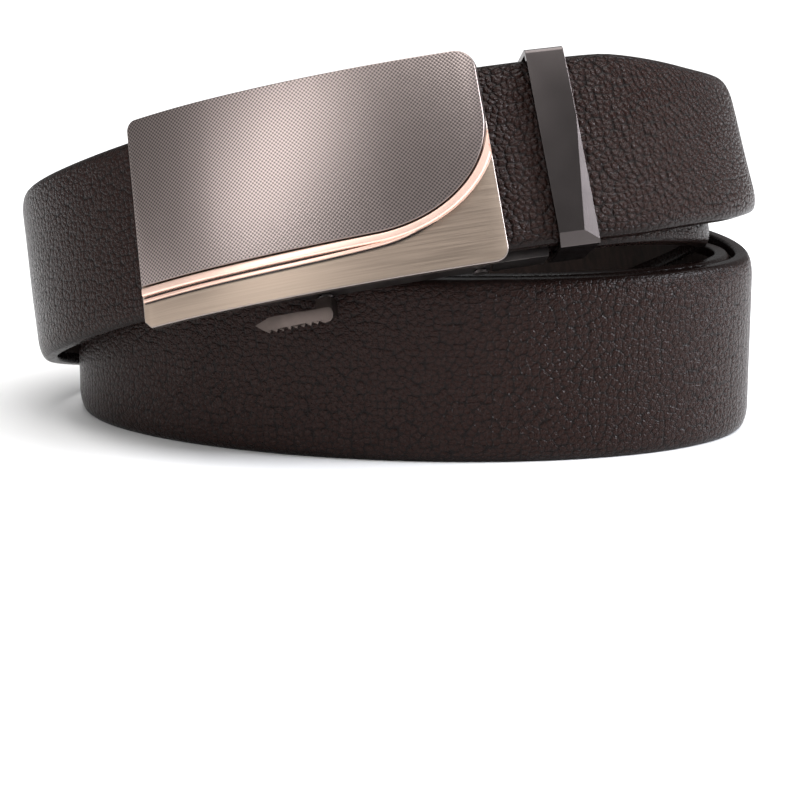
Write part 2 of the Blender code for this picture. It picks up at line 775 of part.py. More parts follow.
def make_lever(buckle, cutters, look):
    """Build the thumb lever with its toothed lower edge, below the frame."""
    top = -FACE_HEIGHT / 2 - FACE_DROP - LEVER_DROP
    low = top - LEVER_HEIGHT
    right = PIVOT_AT + PIVOT_RADIUS / 2
    left = right - LEVER_LENGTH
    points = [(left, top - LEVER_HEIGHT * 0.35), (left + LEVER_HEIGHT, top), (right, top)]
    points += arc(
        (right, top - LEVER_HEIGHT / 2), (LEVER_HEIGHT * 0.4, LEVER_HEIGHT / 2), 90.0, -90.0, 6
    )[1:-1]
    start = right - LEVER_NOTCH
    run = start - (left + LEVER_HEIGHT * 0.5)
    for index in range(LEVER_TEETH):
        x = start - run * index / LEVER_TEETH
        points.append((x, low))
        points.append((x - run / LEVER_TEETH * 0.75, low + LEVER_NOTCH))
    thumb = outline_slab(points, LEVER_THICK)
    out = TRACK_BACK
    bmesh.ops.translate(thumb, verts=thumb.verts, vec=(0.0, 0.0, out))
    ear_top = -WALL_OUTSIDE - SEAT_GAP * 2 - PIN_HEAD
    ear = block(
        (PIVOT_AT - LEVER_HEIGHT / 2, low + LEVER_HEIGHT / 2, PIVOT_OUT - LEVER_HEIGHT / 2),
        (PIVOT_AT + LEVER_HEIGHT / 2, ear_top, out + LEVER_THICK / 3),
    )
    mesh = combine(thumb, [ear], cutters, "UNION")
    return buckle.bend("release_lever", mesh, look, buckle.pivot)


def make_keeper(buckle, cutters, look):
    """Build the loop that holds the tip down on the fixed end."""
    inside = STRAP_WIDTH / 2 + SLIDE_GAP
    outside = inside + KEEPER_WALL
    front = STRAP_FACE + SLIDE_GAP
    back = CLAMP_FLOOR - SLIDE_GAP + SEAT_GAP
    left = KEEPER_AT
    right = KEEPER_AT + KEEPER_WIDTH
    loop = block((left, -outside, back - KEEPER_WALL), (right, outside, front + KEEPER_WALL))
    corners = []
    for edge in loop.edges:
        run = edge.verts[0].co - edge.verts[1].co
        if abs(run.x) > KEEPER_WIDTH / 2:
            corners.append(edge)
    bmesh.ops.bevel(
        loop, geom=corners, offset=KEEPER_BEVEL * 2, segments=3, profile=0.5, affect="EDGES", material=-1
    )
    rims = []
    for edge in loop.edges:
        flat = abs(edge.verts[0].co.x - edge.verts[1].co.x) < SEAT_GAP / 10
        if flat:
            rims.append(edge)
    bmesh.ops.bevel(
        loop, geom=rims, offset=KEEPER_BEVEL / 2, segments=1, profile=0.5, affect="EDGES", material=-1
    )
    space = block((left - SHEET, -inside, back), (right + SHEET, inside, front))
    mesh = combine(loop, [space], cutters, "DIFFERENCE")
    return buckle.bend("keeper_loop", mesh, look)


def settle(root, group):
    """Move the belt so that the middle of its box's floor is the origin."""
    bpy.context.view_layer.update()
    points = []
    for item in group.objects:
        if item.type == "MESH":
            points += [item.matrix_world @ vertex.co for vertex in item.data.vertices]
    low = [min(point[axis] for point in points) for axis in range(3)]
    high = [max(point[axis] for point in points) for axis in range(3)]
    root.location = (-(low[0] + high[0]) / 2, -(low[1] + high[1]) / 2, -low[2])
    bpy.context.view_layer.update()


def main():
    """Build the whole belt."""
    clear_scene()
    group = new_collection(COLLECTION)
    cutters = new_collection(CUTTERS)
    root = bpy.data.objects.new("belt", None)
    group.objects.link(root)
    route = Route(ROUTE)

    leather = material("brown_leather", (0.028, 0.019, 0.017), 0.5, 0.0)
    brushed = material("brushed_nickel", (0.42, 0.34, 0.28), 0.35, 1.0)
    dark = material("dark_metal", (0.22, 0.18, 0.17), 0.3, 1.0)
    rose = material("rose_metal", (0.85, 0.60, 0.47), 0.2, 1.0)
    steel = material("steel", (0.30, 0.27, 0.25), 0.4, 1.0)
    track = material("track_plastic", (0.02, 0.02, 0.02), 0.5, 0.0)

    make_strap(route, group, root, leather)
    buckle = Buckle(route, group, root)
    make_base_plate(buckle, brushed)
    make_panel(buckle, dark)
    make_trim(buckle, rose)
    make_bead(buckle, rose)
    make_frame(buckle, cutters, steel)
    make_clamp(buckle, cutters, steel)
    make_pin(buckle, "hinge_pin", HINGE_RADIUS, HINGE_AT, -STACK, None, cutters, steel)
    make_pin(
        buckle, "pivot_pin", PIVOT_RADIUS, PIVOT_AT, PIVOT_OUT, buckle.pivot, cutters, steel
    )
    make_track(buckle, track)
    make_pawl(buckle, cutters, steel)
    make_lever(buckle, cutters, steel)
    make_keeper(buckle, cutters, dark)
    settle(root, group)


main()
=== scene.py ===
"""Looks of a coiled leather dress belt with a ratchet buckle.

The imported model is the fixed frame. The leather, the buckle's face and the
keeper are built here at full detail and stand for their plain solids. The
buckle's small works are copies of their solids with softened edges.
Lengths are in metres and +Z is up. A piece is first drawn flat, as (along,
across, out) from the strap's middle line, and then bent onto the coil.
"""

from __future__ import annotations

import json
import logging
import math
from bisect import bisect_right
from collections.abc import Iterable, Sequence
from dataclasses import dataclass, field
from enum import Enum

import bmesh
import bpy
from mathutils import Matrix, Vector, noise

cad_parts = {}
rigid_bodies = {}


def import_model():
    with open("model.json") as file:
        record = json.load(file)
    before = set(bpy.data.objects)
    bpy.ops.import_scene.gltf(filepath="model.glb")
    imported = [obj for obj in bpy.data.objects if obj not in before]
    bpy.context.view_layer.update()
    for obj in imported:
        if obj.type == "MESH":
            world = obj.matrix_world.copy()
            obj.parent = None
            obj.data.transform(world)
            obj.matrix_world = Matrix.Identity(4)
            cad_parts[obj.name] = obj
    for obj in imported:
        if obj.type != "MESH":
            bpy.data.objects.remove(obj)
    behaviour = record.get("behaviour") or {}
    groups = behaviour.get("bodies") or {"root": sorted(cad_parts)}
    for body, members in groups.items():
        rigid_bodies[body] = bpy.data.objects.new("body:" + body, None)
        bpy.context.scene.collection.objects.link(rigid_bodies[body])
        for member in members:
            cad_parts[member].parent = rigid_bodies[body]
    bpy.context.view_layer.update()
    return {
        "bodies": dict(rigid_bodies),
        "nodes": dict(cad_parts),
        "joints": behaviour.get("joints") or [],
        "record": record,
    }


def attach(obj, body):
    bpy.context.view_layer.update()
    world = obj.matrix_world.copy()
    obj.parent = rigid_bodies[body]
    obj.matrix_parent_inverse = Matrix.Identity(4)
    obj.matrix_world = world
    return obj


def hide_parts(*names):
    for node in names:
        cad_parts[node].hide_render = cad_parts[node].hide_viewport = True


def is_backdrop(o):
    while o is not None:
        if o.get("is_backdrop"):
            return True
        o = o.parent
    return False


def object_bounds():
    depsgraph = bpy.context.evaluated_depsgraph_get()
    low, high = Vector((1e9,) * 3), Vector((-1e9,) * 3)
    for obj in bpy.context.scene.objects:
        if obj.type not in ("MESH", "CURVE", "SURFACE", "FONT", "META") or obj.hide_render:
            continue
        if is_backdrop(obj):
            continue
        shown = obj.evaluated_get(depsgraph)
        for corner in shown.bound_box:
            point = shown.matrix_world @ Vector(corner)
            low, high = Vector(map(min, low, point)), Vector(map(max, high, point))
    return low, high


LOG = logging.getLogger("dress_belt")
FLAT_MAP = "flat"
RIM_MAP = "rim"
STRAP_WIDTH = 0.035
STRAP_THICK = 0.0036
SEAT_GAP = 0.0003
SLIDE_GAP = 0.0004
SHEET = 0.0009
WELD = 0.000002
STEEP = math.radians(60.0)

Colour = tuple[float, float, float]
Point = tuple[float, float]
Place = tuple[float, float, float]
Mesh = bmesh.types.BMesh
Face = bmesh.types.BMFace
Piece = bpy.types.Object
Material = bpy.types.Material


def row_at(keys: Sequence[float], key: float) -> int:
    """Return the row that starts the step in which a key lies."""
    return min(max(bisect_right(keys, key) - 1, 0), len(keys) - 2)


def straight(keys: Sequence[float], values: Sequence[float], key: float) -> float:
    """Read a table along straight lines.

    Args:
        keys: The table's rising keys.
        values: The value at each key.
        key: The key to read at.

    Returns:
        The value there.
    """
    row = row_at(keys, key)
    share = (key - keys[row]) / (keys[row + 1] - keys[row])
    return values[row] + (values[row + 1] - values[row]) * share


@dataclass
class Curve:
    """A smooth curve through rows of numbers that never overshoots a row."""

    keys: list[float]
    values: list[float]
    slopes: list[float] = field(init=False)

    def __post_init__(self) -> None:
        """Work out the slope at each row."""
        steps = [b - a for a, b in zip(self.keys, self.keys[1:])]
        rises = [(b - a) / h for a, b, h in zip(self.values, self.values[1:], steps)]
        self.slopes = [rises[0]]
        for before, after in zip(rises, rises[1:]):
            level = before * after <= 0.0
            self.slopes.append(0.0 if level else 2.0 * before * after / (before + after))
        self.slopes.append(rises[-1])

    def at(self, key: float) -> float:
        """Read the curve.

        Args:
            key: A key between the first and last rows.

        Returns:
            The value there.
        """
        row = row_at(self.keys, key)
        step = self.keys[row + 1] - self.keys[row]
        t = (key - self.keys[row]) / step
        start = (2 * t**3 - 3 * t**2 + 1) * self.values[row]
        end = (3 * t**2 - 2 * t**3) * self.values[row + 1]
        leave = (t**3 - 2 * t**2 + t) * step * self.slopes[row]
        arrive = (t**3 - t**2) * step * self.slopes[row + 1]
        return start + end + leave + arrive


@dataclass
class Coil:
    """The line that the strap's middle follows, with its directions.

    A station is a turning angle in degrees, how many strap layers the strap
    lies outside the coil's oval, how far it leans into the tilted ring, and
    how much of the roll about its own lower edge it has.
    """

    strap_width: float = STRAP_WIDTH
    strap_thick: float = STRAP_THICK
    half_length: float = 0.068
    half_depth: float = 0.041
    yaw: float = math.radians(-9.7)
    gap: float = 0.0005
    tilt: float = math.radians(19.0)
    roll: float = math.radians(6.0)
    bearing: float = math.radians(118.5)
    lift: float = 0.0045
    buckle_angle: float = 987.0
    buckle_layers: float = 3.40
    turns: int = 3
    root: Place = (0.00595042, 0.00064131, 0.0)
    fine: float = math.radians(0.5)
    nudge: float = math.radians(0.05)
    curve_reach: float = 0.0336
    layers: Curve = field(init=False)
    lean: Curve = field(init=False)
    rolls: Curve = field(init=False)
    away: Vector = field(init=False)
    hinge: float = field(init=False)
    angles: list[float] = field(init=False)
    lengths: list[float] = field(init=False)
    buckle_at: float = field(init=False)

    def __post_init__(self) -> None:
        """Lay the stations out and measure the line."""
        rows = self.stations()
        angles = [math.radians(row[0]) for row in rows]
        self.layers, self.lean, self.rolls = (
            Curve(angles, [row[column] for row in rows]) for column in (1, 2, 3)
        )
        self.away = Vector((math.cos(self.bearing), math.sin(self.bearing), 0.0))
        turn = self.bearing - self.yaw
        reach = math.hypot(self.half_length * math.cos(turn), self.half_depth * math.sin(turn))
        self.hinge = (self.strap_width + self.lift) / math.sin(self.tilt) - reach
        span = angles[-1] - angles[0]
        count = math.ceil(span / self.fine)
        self.angles = [angles[0] + span * i / count for i in range(count + 1)]
        points = [self.middle(angle) for angle in self.angles]
        self.lengths = [0.0]
        for a, b in zip(points, points[1:]):
            self.lengths.append(self.lengths[-1] + (b - a).length)
        self.buckle_at = self.length_at(math.radians(self.buckle_angle))

    @property
    def layer(self) -> float:
        """Return the step from one layer of strap to the next."""
        return self.strap_thick + self.gap

    @property
    def stack(self) -> float:
        """Return the step between the two layers that the buckle holds."""
        return self.strap_thick + 2 * SEAT_GAP + SHEET + SLIDE_GAP + SHEET

    def stations(self) -> tuple[tuple[float, float, float, float], ...]:
        """Return the stations from the clamped end to the tip."""
        head = self.buckle_layers - self.stack / self.layer
        return (
            (-80.0, head, 1.00, 1.00),
            (-50.0, head, 1.00, 1.00),
            (-30.0, 0.45, 1.00, 0.60),
            (0.0, -1.35, 1.00, 0.00),
            (25.0, -2.20, 0.97, 0.00),
            (50.0, -3.00, 0.88, 0.00),
            (90.0, -3.35, 0.70, 0.00),
            (135.0, -3.10, 0.50, 0.00),
            (180.0, -2.60, 0.30, 0.00),
            (225.0, -1.75, 0.12, 0.00),
            (270.0, -1.15, 0.00, 0.00),
            (315.0, -1.06, 0.00, 0.00),
            (360.0, -1.00, 0.00, 0.00),
            (405.0, -0.85, 0.00, 0.00),
            (450.0, -0.50, 0.00, 0.00),
            (495.0, -0.15, 0.00, 0.00),
            (540.0, 0.00, 0.00, 0.00),
            (630.0, 0.00, 0.00, 0.00),
            (720.0, 0.00, 0.00, 0.00),
            (765.0, 0.40, 0.10, 0.00),
            (810.0, 0.90, 0.45, 0.00),
            (855.0, 1.20, 0.85, 0.00),
            (900.0, 1.60, 1.00, 0.10),
            (945.0, 2.50, 1.00, 0.70),
            (975.0, 3.30, 1.00, 0.95),
            (1000.0, self.buckle_layers, 1.00, 1.00),
            (1030.0, self.buckle_layers, 1.00, 1.00),
            (1050.0, 2.70, 1.00, 1.00),
            (1078.0, 1.45, 1.045, 0.60),
        )

    def foot(self, angle: float) -> Vector:
        """Find the middle of the strap's lower edge.

        Args:
            angle: The turning angle.

        Returns:
            That point of the oval, turned up about the ring's hinge line.
        """
        along, across = math.cos(angle), math.sin(angle)
        out = Vector((along / self.half_length, across / self.half_depth, 0.0)).normalized()
        point = Vector((self.half_length * along, self.half_depth * across, 0.0))
        point += out * self.layer * self.layers.at(angle)
        point.rotate(Matrix.Rotation(self.yaw, 3, "Z"))
        lean = self.tilt * self.lean.at(angle)
        reach = self.hinge - point.dot(self.away)
        point += self.away * reach * (1.0 - math.cos(lean))
        point.z = reach * math.sin(lean)
        depth = (self.buckle_layers - self.layers.at(angle)) * self.layer
        drop = depth * math.tan(self.roll * self.rolls.at(angle))
        return point - self.upright(lean) * drop

    def upright(self, lean: float) -> Vector:
        """Return the width direction of a strap that leans without a roll."""
        return self.away * math.sin(lean) + Vector((0.0, 0.0, math.cos(lean)))

    def rise(self, angle: float) -> Vector:
        """Find the strap's width direction.

        Args:
            angle: The turning angle.

        Returns:
            The direction from its lower to its upper edge.
        """
        upright = self.upright(self.tilt * self.lean.at(angle))
        tangent = (self.foot(angle + self.nudge) - self.foot(angle - self.nudge)).normalized()
        upright = (upright - tangent * upright.dot(tangent)).normalized()
        roll = self.roll * self.rolls.at(angle)
        return upright * math.cos(roll) - tangent.cross(upright) * math.sin(roll)

    def middle(self, angle: float) -> Vector:
        """Return the middle of the strap."""
        return self.foot(angle) + self.rise(angle) * self.strap_width / 2

    def frame(self, length: float) -> tuple[Vector, Vector, Vector, Vector]:
        """Find the strap's place and directions.

        Args:
            length: The length along the strap from the start of the line.

        Returns:
            The middle in the object's frame, then the directions along the
            strap, across its width and outward.
        """
        angle = self.angle_at(length)
        tangent = self.middle(angle + self.nudge) - self.middle(angle - self.nudge)
        tangent.normalize()
        rise = self.rise(angle)
        rise = (rise - tangent * rise.dot(tangent)).normalized()
        return self.middle(angle) + Vector(self.root), tangent, rise, tangent.cross(rise)

    def angle_at(self, length: float) -> float:
        """Return the turning angle at a length from the start."""
        return straight(self.lengths, self.angles, length)

    def length_at(self, angle: float) -> float:
        """Return the length from the start at a turning angle."""
        return straight(self.angles, self.lengths, angle)

    def bend(self, mesh: Mesh, start: float = 0.0, face: float = 0.0) -> None:
        """Bend a flat mesh onto the coil.

        Args:
            mesh: The mesh, drawn as (along, across, out).
            start: The length along the strap at which the mesh's zero lies.
            face: The distance outward past which lengths are kept as drawn.
        """
        frames: dict[float, tuple[Vector, Vector, Vector, Vector]] = {}
        curvature = self.curvature(start) if face else 0.0
        for vertex in mesh.verts:
            along, across, out = vertex.co
            if face:
                along *= 1.0 - max(0.0, out - face) * curvature
            place = round(start + along, 7)
            if place not in frames:
                frames[place] = self.frame(place)
            middle, _, rise, outward = frames[place]
            vertex.co = middle + rise * across + outward * out

    def curvature(self, place: float) -> float:
        """Find how sharply the strap bends.

        Args:
            place: A length along the strap.

        Returns:
            The mean curvature within a reach on both sides of that place.
        """
        ends = (place - self.curve_reach, place + self.curve_reach)
        before, after = (self.frame(end)[1] for end in ends)
        return before.angle(after) / (2.0 * self.curve_reach)


class Value:
    """A node's output that takes part in arithmetic."""

    def __init__(self, book: NodeBook, socket: bpy.types.NodeSocket) -> None:
        """Hold the socket and the nodes that it belongs to."""
        self.book = book
        self.socket = socket

    def __add__(self, other: Value | float) -> Value:
        """Return the sum."""
        return self.book.maths("ADD", self, other)

    def __sub__(self, other: Value | float) -> Value:
        """Return the difference."""
        return self.book.maths("SUBTRACT", self, other)

    def __rsub__(self, other: float) -> Value:
        """Return a number less this value."""
        return self.book.maths("SUBTRACT", other, self)

    def __mul__(self, other: Value | float) -> Value:
        """Return the product."""
        return self.book.maths("MULTIPLY", self, other)

    __radd__ = __add__
    __rmul__ = __mul__


def rgba(colour: Colour) -> tuple[float, float, float, float]:
    """Return an opaque colour."""
    return (*colour, 1.0)


def scaled(colour: Colour, factor: float) -> Colour:
    """Return a colour made paler or darker."""
    return tuple(channel * factor for channel in colour)


class NodeBook:
    """A material's nodes, each made by one call and joined by expressions."""

    def __init__(self, name: str) -> None:
        """Start a material with a Principled shader.

        Args:
            name: The material's name.
        """
        self.material = bpy.data.materials.new(name)
        self.material.use_nodes = True
        self.tree = self.material.node_tree
        self.shader = self.tree.nodes["Principled BSDF"]

    def node(
        self,
        kind: str,
        settings: dict[str, object] | None = None,
        inputs: dict[str | int, object] | None = None,
        output: int = 0,
    ) -> Value:
        """Make a node.

        Args:
            kind: The node's type.
            settings: The node's own properties, which are set first.
            inputs: Values or links for its sockets, by name or number.
            output: The number of the output that is wanted.

        Returns:
            That output.
        """
        made = self.tree.nodes.new(kind)
        for name, value in (settings or {}).items():
            setattr(made, name, value)
        for key, value in (inputs or {}).items():
            self.feed(made.inputs[key], value)
        return Value(self, made.outputs[output])

    def feed(self, socket: bpy.types.NodeSocket, value: object) -> None:
        """Link a value to a socket, or set the socket's own value.

        Args:
            socket: The socket.
            value: A node's output, or a number, colour or vector.
        """
        if isinstance(value, Value):
            self.tree.links.new(value.socket, socket)
        else:
            socket.default_value = value

    def maths(self, operation: str, *values: Value | float) -> Value:
        """Return a Math node's output."""
        return self.node("ShaderNodeMath", {"operation": operation}, dict(enumerate(values)))

    def ease(self, value: Value, low: float, high: float) -> Value:
        """Return 0 to 1 along an S curve as a value goes from low to high."""
        return self.node(
            "ShaderNodeMapRange",
            {"interpolation_type": "SMOOTHSTEP"},
            {"Value": value, "From Min": low, "From Max": high},
        )

    def blend(self, share: Value, first: Colour, second: Colour) -> Value:
        """Return a colour between two."""
        return self.node(
            "ShaderNodeMix",
            {"data_type": "RGBA"},
            {0: share, 6: rgba(first), 7: rgba(second)},
            output=2,
        )

    def noise(self, place: Value, scale: float, detail: float = 2.0, output: int = 0) -> Value:
        """Return a noise texture's value, or its colour as output 1."""
        return self.node(
            "ShaderNodeTexNoise",
            {"noise_dimensions": "3D"},
            {"Vector": place, "Scale": scale, "Detail": detail},
            output,
        )

    def streaks(
        self, place: Value, along: float, across: float, detail: float = 2.0, turn: float = 0.0
    ) -> Value:
        """Make a noise that is drawn out into streaks.

        Args:
            place: The coordinates.
            along: The noise's scale along the first axis.
            across: Its scale across that axis.
            detail: Its detail.
            turn: The angle by which the coordinates are turned first.

        Returns:
            The noise.
        """
        drawn = self.node(
            "ShaderNodeMapping",
            {"vector_type": "POINT"},
            {"Vector": place, "Scale": (along, across, 1.0), "Rotation": (0.0, 0.0, turn)},
        )
        return self.noise(drawn, 1.0, detail)

    def flat_place(self) -> Value:
        """Return the piece's own flat map, in metres."""
        return self.node("ShaderNodeUVMap", {"uv_map": FLAT_MAP})

    def object_place(self) -> Value:
        """Return object coordinates."""
        return self.node("ShaderNodeTexCoord", output=3)

    def axis(self, place: Value, number: int) -> Value:
        """Return one of the numbers in a place."""
        return self.node("ShaderNodeSeparateXYZ", None, {0: place}, number)

    def bump(self, height: Value, depth: float) -> Value:
        """Return a normal from a height of 0 to 1 and a depth in metres."""
        return self.node("ShaderNodeBump", None, {"Height": height, "Distance": depth})

    def finish(self, values: dict[str, object]) -> Material:
        """Set the shader's sockets.

        Args:
            values: Values or links, by the name of their socket.

        Returns:
            The finished material.
        """
        for name, value in values.items():
            self.feed(self.shader.inputs[name], value)
        return self.material


class Grain(Enum):
    """How the leather's surface is finished."""

    PEBBLED = "pebbled"
    SPLIT = "split"


class Cell(Enum):
    """What is measured inside a pebble."""

    FROM_EDGE = "DISTANCE_TO_EDGE"
    FROM_MIDDLE = "F1"


@dataclass(frozen=True)
class Leather:
    """Dark brown leather, pebbled outside and a plain split inside.

    A scale is in features to the metre, and a range is where an S curve
    starts and ends. The shares say how much each layer adds to the relief.
    """

    name: str
    grain: Grain
    # Colour in the creases: painted shade in the pebbled leather, the fibres' own lower tone in the
    # split lining.
    crease_shade_and_fibre_tone: Colour
    body: Colour
    roughness: float
    specular: float
    depth: float
    pebbles: float = 800.0
    small_pebbles: float = 1840.0
    drift_scale: float = 440.0
    drift: float = 0.0011
    randomness: float = 0.9
    dome_fall: float = 1.6
    dome_share: float = 0.55
    edge_share: float = 0.45
    edge_range: Point = (-0.06, 0.40)
    small_share: float = 0.20
    small_range: Point = (-0.05, 0.45)
    patch_scale: float = 34.0
    patch_range: Point = (0.36, 0.64)
    patch_gain: float = 0.25
    patch_base: float = 0.80
    streak_turn: float = 0.6
    streak_share: float = 0.34
    pore_scale: float = 5200.0
    pore_share: float = 0.05
    shoulder_range: Point = (0.10, 0.70)
    shoulder_loss: float = 0.85
    tip_from: float = 0.0
    tip_blend: float = 0.03
    tip_gain: float = 0.82
    tip_base: float = 0.53
    shade_lift: float = 0.12
    shade_range: Point = (0.35, 1.10)

    def make(self) -> Material:
        """Return the material."""
        return self.pebbled() if self.grain is Grain.PEBBLED else self.split()

    def pebbled(self) -> Material:
        """Return leather whose pebbles fade on its shoulders and grow near its tip."""
        book = NodeBook(self.name)
        place = book.flat_place()
        warped = book.node(
            "ShaderNodeVectorMath",
            {"operation": "MULTIPLY_ADD"},
            {
                0: book.noise(place, self.drift_scale, output=1),
                1: (self.drift, self.drift, 0.0),
                2: place,
            },
        )
        edges = self.cells(book, warped, self.pebbles, Cell.FROM_EDGE)
        middles = self.cells(book, warped, self.pebbles, Cell.FROM_MIDDLE)
        domes = 1.0 - middles * middles * self.dome_fall
        pebble = book.ease(edges, *self.edge_range) * self.edge_share + domes * self.dome_share
        wrinkles = self.cells(book, warped, self.small_pebbles, Cell.FROM_EDGE)
        small = book.ease(wrinkles, *self.small_range)
        patch = book.ease(book.noise(place, self.patch_scale, 1.0), *self.patch_range)
        streaks = book.streaks(place, 260.0, 1250.0, 3.0, self.streak_turn)
        pores = book.noise(place, self.pore_scale, 1.0)
        rim = book.node("ShaderNodeAttribute", {"attribute_name": RIM_MAP}, output=2)
        grainy = 1.0 - book.ease(rim, *self.shoulder_range) * self.shoulder_loss
        tip_range = (self.tip_from - self.tip_blend, self.tip_from + self.tip_blend)
        near_tip = book.ease(book.axis(place, 0), *tip_range)
        full = pebble * (patch * self.patch_gain + self.patch_base)
        coarse = full * (near_tip * self.tip_gain + self.tip_base)
        fine = small * self.small_share + streaks * self.streak_share * (1.0 - patch * 0.6)
        relief = (coarse + fine) * grainy + pores * self.pore_share
        # Painted shade: the colour falls from the body colour on the pebbles' tops into the
        # creases. It is also lower where the grain fades on the rounded shoulders and edges.
        shade = book.ease(full * grainy + fine + self.shade_lift, *self.shade_range)
        return book.finish({
            "Base Color": book.blend(shade, self.crease_shade_and_fibre_tone, self.body),
            "Roughness": self.roughness + pores * 0.10 - pebble * patch * 0.08,
            "Normal": book.bump(relief, self.depth),
            "Specular IOR Level": self.specular,
        })

    def cells(self, book: NodeBook, place: Value, scale: float, cell: Cell) -> Value:
        """Return a distance inside each of a field of pebbles."""
        return book.node(
            "ShaderNodeTexVoronoi",
            {"voronoi_dimensions": "2D", "feature": cell.value},
            {"Vector": place, "Scale": scale, "Randomness": self.randomness},
        )

    def split(self) -> Material:
        """Return the matt fibrous leather of the lining."""
        book = NodeBook(self.name)
        place = book.flat_place()
        fibres = book.streaks(place, 900.0, 260.0, 4.0)
        nap = book.noise(place, 2600.0, 3.0)
        cloud = book.noise(place, 55.0)
        shade = book.ease(fibres * 0.7 + cloud * 0.5, 0.40, 0.85)
        return book.finish({
            "Base Color": book.blend(shade, self.crease_shade_and_fibre_tone, self.body),
            "Roughness": self.roughness + nap * 0.15,
            "Normal": book.bump(fibres * 0.6 + nap * 0.4, self.depth),
            "Specular IOR Level": self.specular,
        })


class Surface(Enum):
    """How a metal's surface is worked."""

    POLISHED = "polished"
    BRUSHED = "brushed"
    WOVEN = "woven"
    PLATED = "plated"


@dataclass(frozen=True)
class Metal:
    """A plated metal. The depths are those of its fine relief."""

    name: str
    surface: Surface
    colour: Colour
    roughness: float
    shade: Colour = (0.125, 0.108, 0.104)
    pitch: float = 0.00074
    metallic: float = 1.0
    hairline_depth: float = 0.0000012
    brush_depth: float = 0.000003
    weave_depth: float = 0.00002
    grit_depth: float = 0.000006

    def make(self) -> Material:
        """Return the material."""
        book = NodeBook(self.name)
        work = {
            Surface.POLISHED: self.polished,
            Surface.BRUSHED: self.brushed,
            Surface.WOVEN: self.woven,
            Surface.PLATED: self.plated,
        }[self.surface]
        colour, rough, normal = work(book)
        return book.finish({
            "Base Color": colour,
            "Roughness": rough,
            "Normal": normal,
            "Metallic": self.metallic,
        })

    def dulled(self, book: NodeBook, share: Value, dull: float) -> Value:
        """Return the colour, dulled where the share is low."""
        return book.blend(share, scaled(self.colour, dull), self.colour)

    def polished(self, book: NodeBook) -> tuple[Value, Value, Value]:
        """Work a polish with faint hairlines.

        Args:
            book: The material's nodes.

        Returns:
            Colour, roughness and normal.
        """
        place = book.flat_place()
        lines = book.streaks(place, 90.0, 5200.0)
        haze = book.noise(place, 240.0)
        colour = self.dulled(book, book.ease(haze, 0.3, 0.7), 0.95)
        rough = self.roughness + haze * 0.03 + lines * 0.04
        return colour, rough, book.bump(lines, self.hairline_depth)

    def brushed(self, book: NodeBook) -> tuple[Value, Value, Value]:
        """Work a face that is brushed along its length.

        Args:
            book: The material's nodes.

        Returns:
            Colour, roughness and normal.
        """
        place = book.flat_place()
        lines = book.streaks(place, 70.0, 3600.0, 3.0)
        broad = book.streaks(place, 30.0, 900.0)
        grain = book.ease(lines * 0.7 + broad * 0.3, 0.36, 0.64)
        colour = self.dulled(book, grain, 0.88)
        return colour, self.roughness + grain * 0.08, book.bump(lines, self.brush_depth)

    def woven(self, book: NodeBook) -> tuple[Value, Value, Value]:
        """Work a fine diagonal weave.

        Args:
            book: The material's nodes.

        Returns:
            Colour, roughness and normal.
        """
        place = book.flat_place()
        turn = 2.0 * math.pi / self.pitch
        along, across = (book.maths("COSINE", book.axis(place, n) * turn) for n in (0, 1))
        knots = along * across * 0.5 + 0.5
        wear = book.noise(place, 420.0)
        colour = book.blend(book.ease(knots, 0.12, 0.80), self.shade, self.colour)
        return colour, self.roughness + wear * 0.06, book.bump(knots, self.weave_depth)

    def plated(self, book: NodeBook) -> tuple[Value, Value, Value]:
        """Work stamped and plated steel.

        Args:
            book: The material's nodes.

        Returns:
            Colour, roughness and normal.
        """
        place = book.object_place()
        stain = book.noise(place, 180.0, 3.0)
        grit = book.noise(place, 2400.0)
        colour = self.dulled(book, book.ease(stain, 0.35, 0.65), 0.7)
        return colour, self.roughness + stain * 0.12, book.bump(grit, self.grit_depth)


@dataclass(frozen=True)
class Plastic:
    """Moulded plastic with a fine matt texture."""

    name: str
    colour: Colour
    roughness: float
    paler: float = 1.6
    depth: float = 0.00002

    def make(self) -> Material:
        """Return the material."""
        book = NodeBook(self.name)
        place = book.object_place()
        mould = book.noise(place, 1900.0, 3.0)
        cloud = book.noise(place, 90.0, 1.0)
        return book.finish({
            "Base Color": book.blend(cloud, self.colour, scaled(self.colour, self.paler)),
            "Roughness": self.roughness + mould * 0.12,
            "Normal": book.bump(mould, self.depth),
        })


def extend(mesh: Mesh, end: Face, move: Matrix) -> Face:
    """Extrude a body's end face.

    Args:
        mesh: The mesh that holds the face.
        end: The face to extrude.
        move: The matrix that carries the new face to its place.

    Returns:
        The new end face.
    """
    geometry = bmesh.ops.extrude_face_region(mesh, geom=[end])["geom"]
    verts = [item for item in geometry if isinstance(item, bmesh.types.BMVert)]
    bmesh.ops.transform(mesh, matrix=move, verts=verts)
    return next(item for item in geometry if isinstance(item, Face))


def extrude_along(mesh: Mesh, first: Matrix, moves: Iterable[Matrix]) -> None:
    """Draw a section out into a body.

    Args:
        mesh: The section, a mesh with one face.
        first: The matrix that carries the section to its first place.
        moves: The matrix from each place to the next.
    """
    end = next(iter(mesh.faces))
    bmesh.ops.transform(mesh, matrix=first, verts=mesh.verts)
    for move in moves:
        end = extend(mesh, end, move)


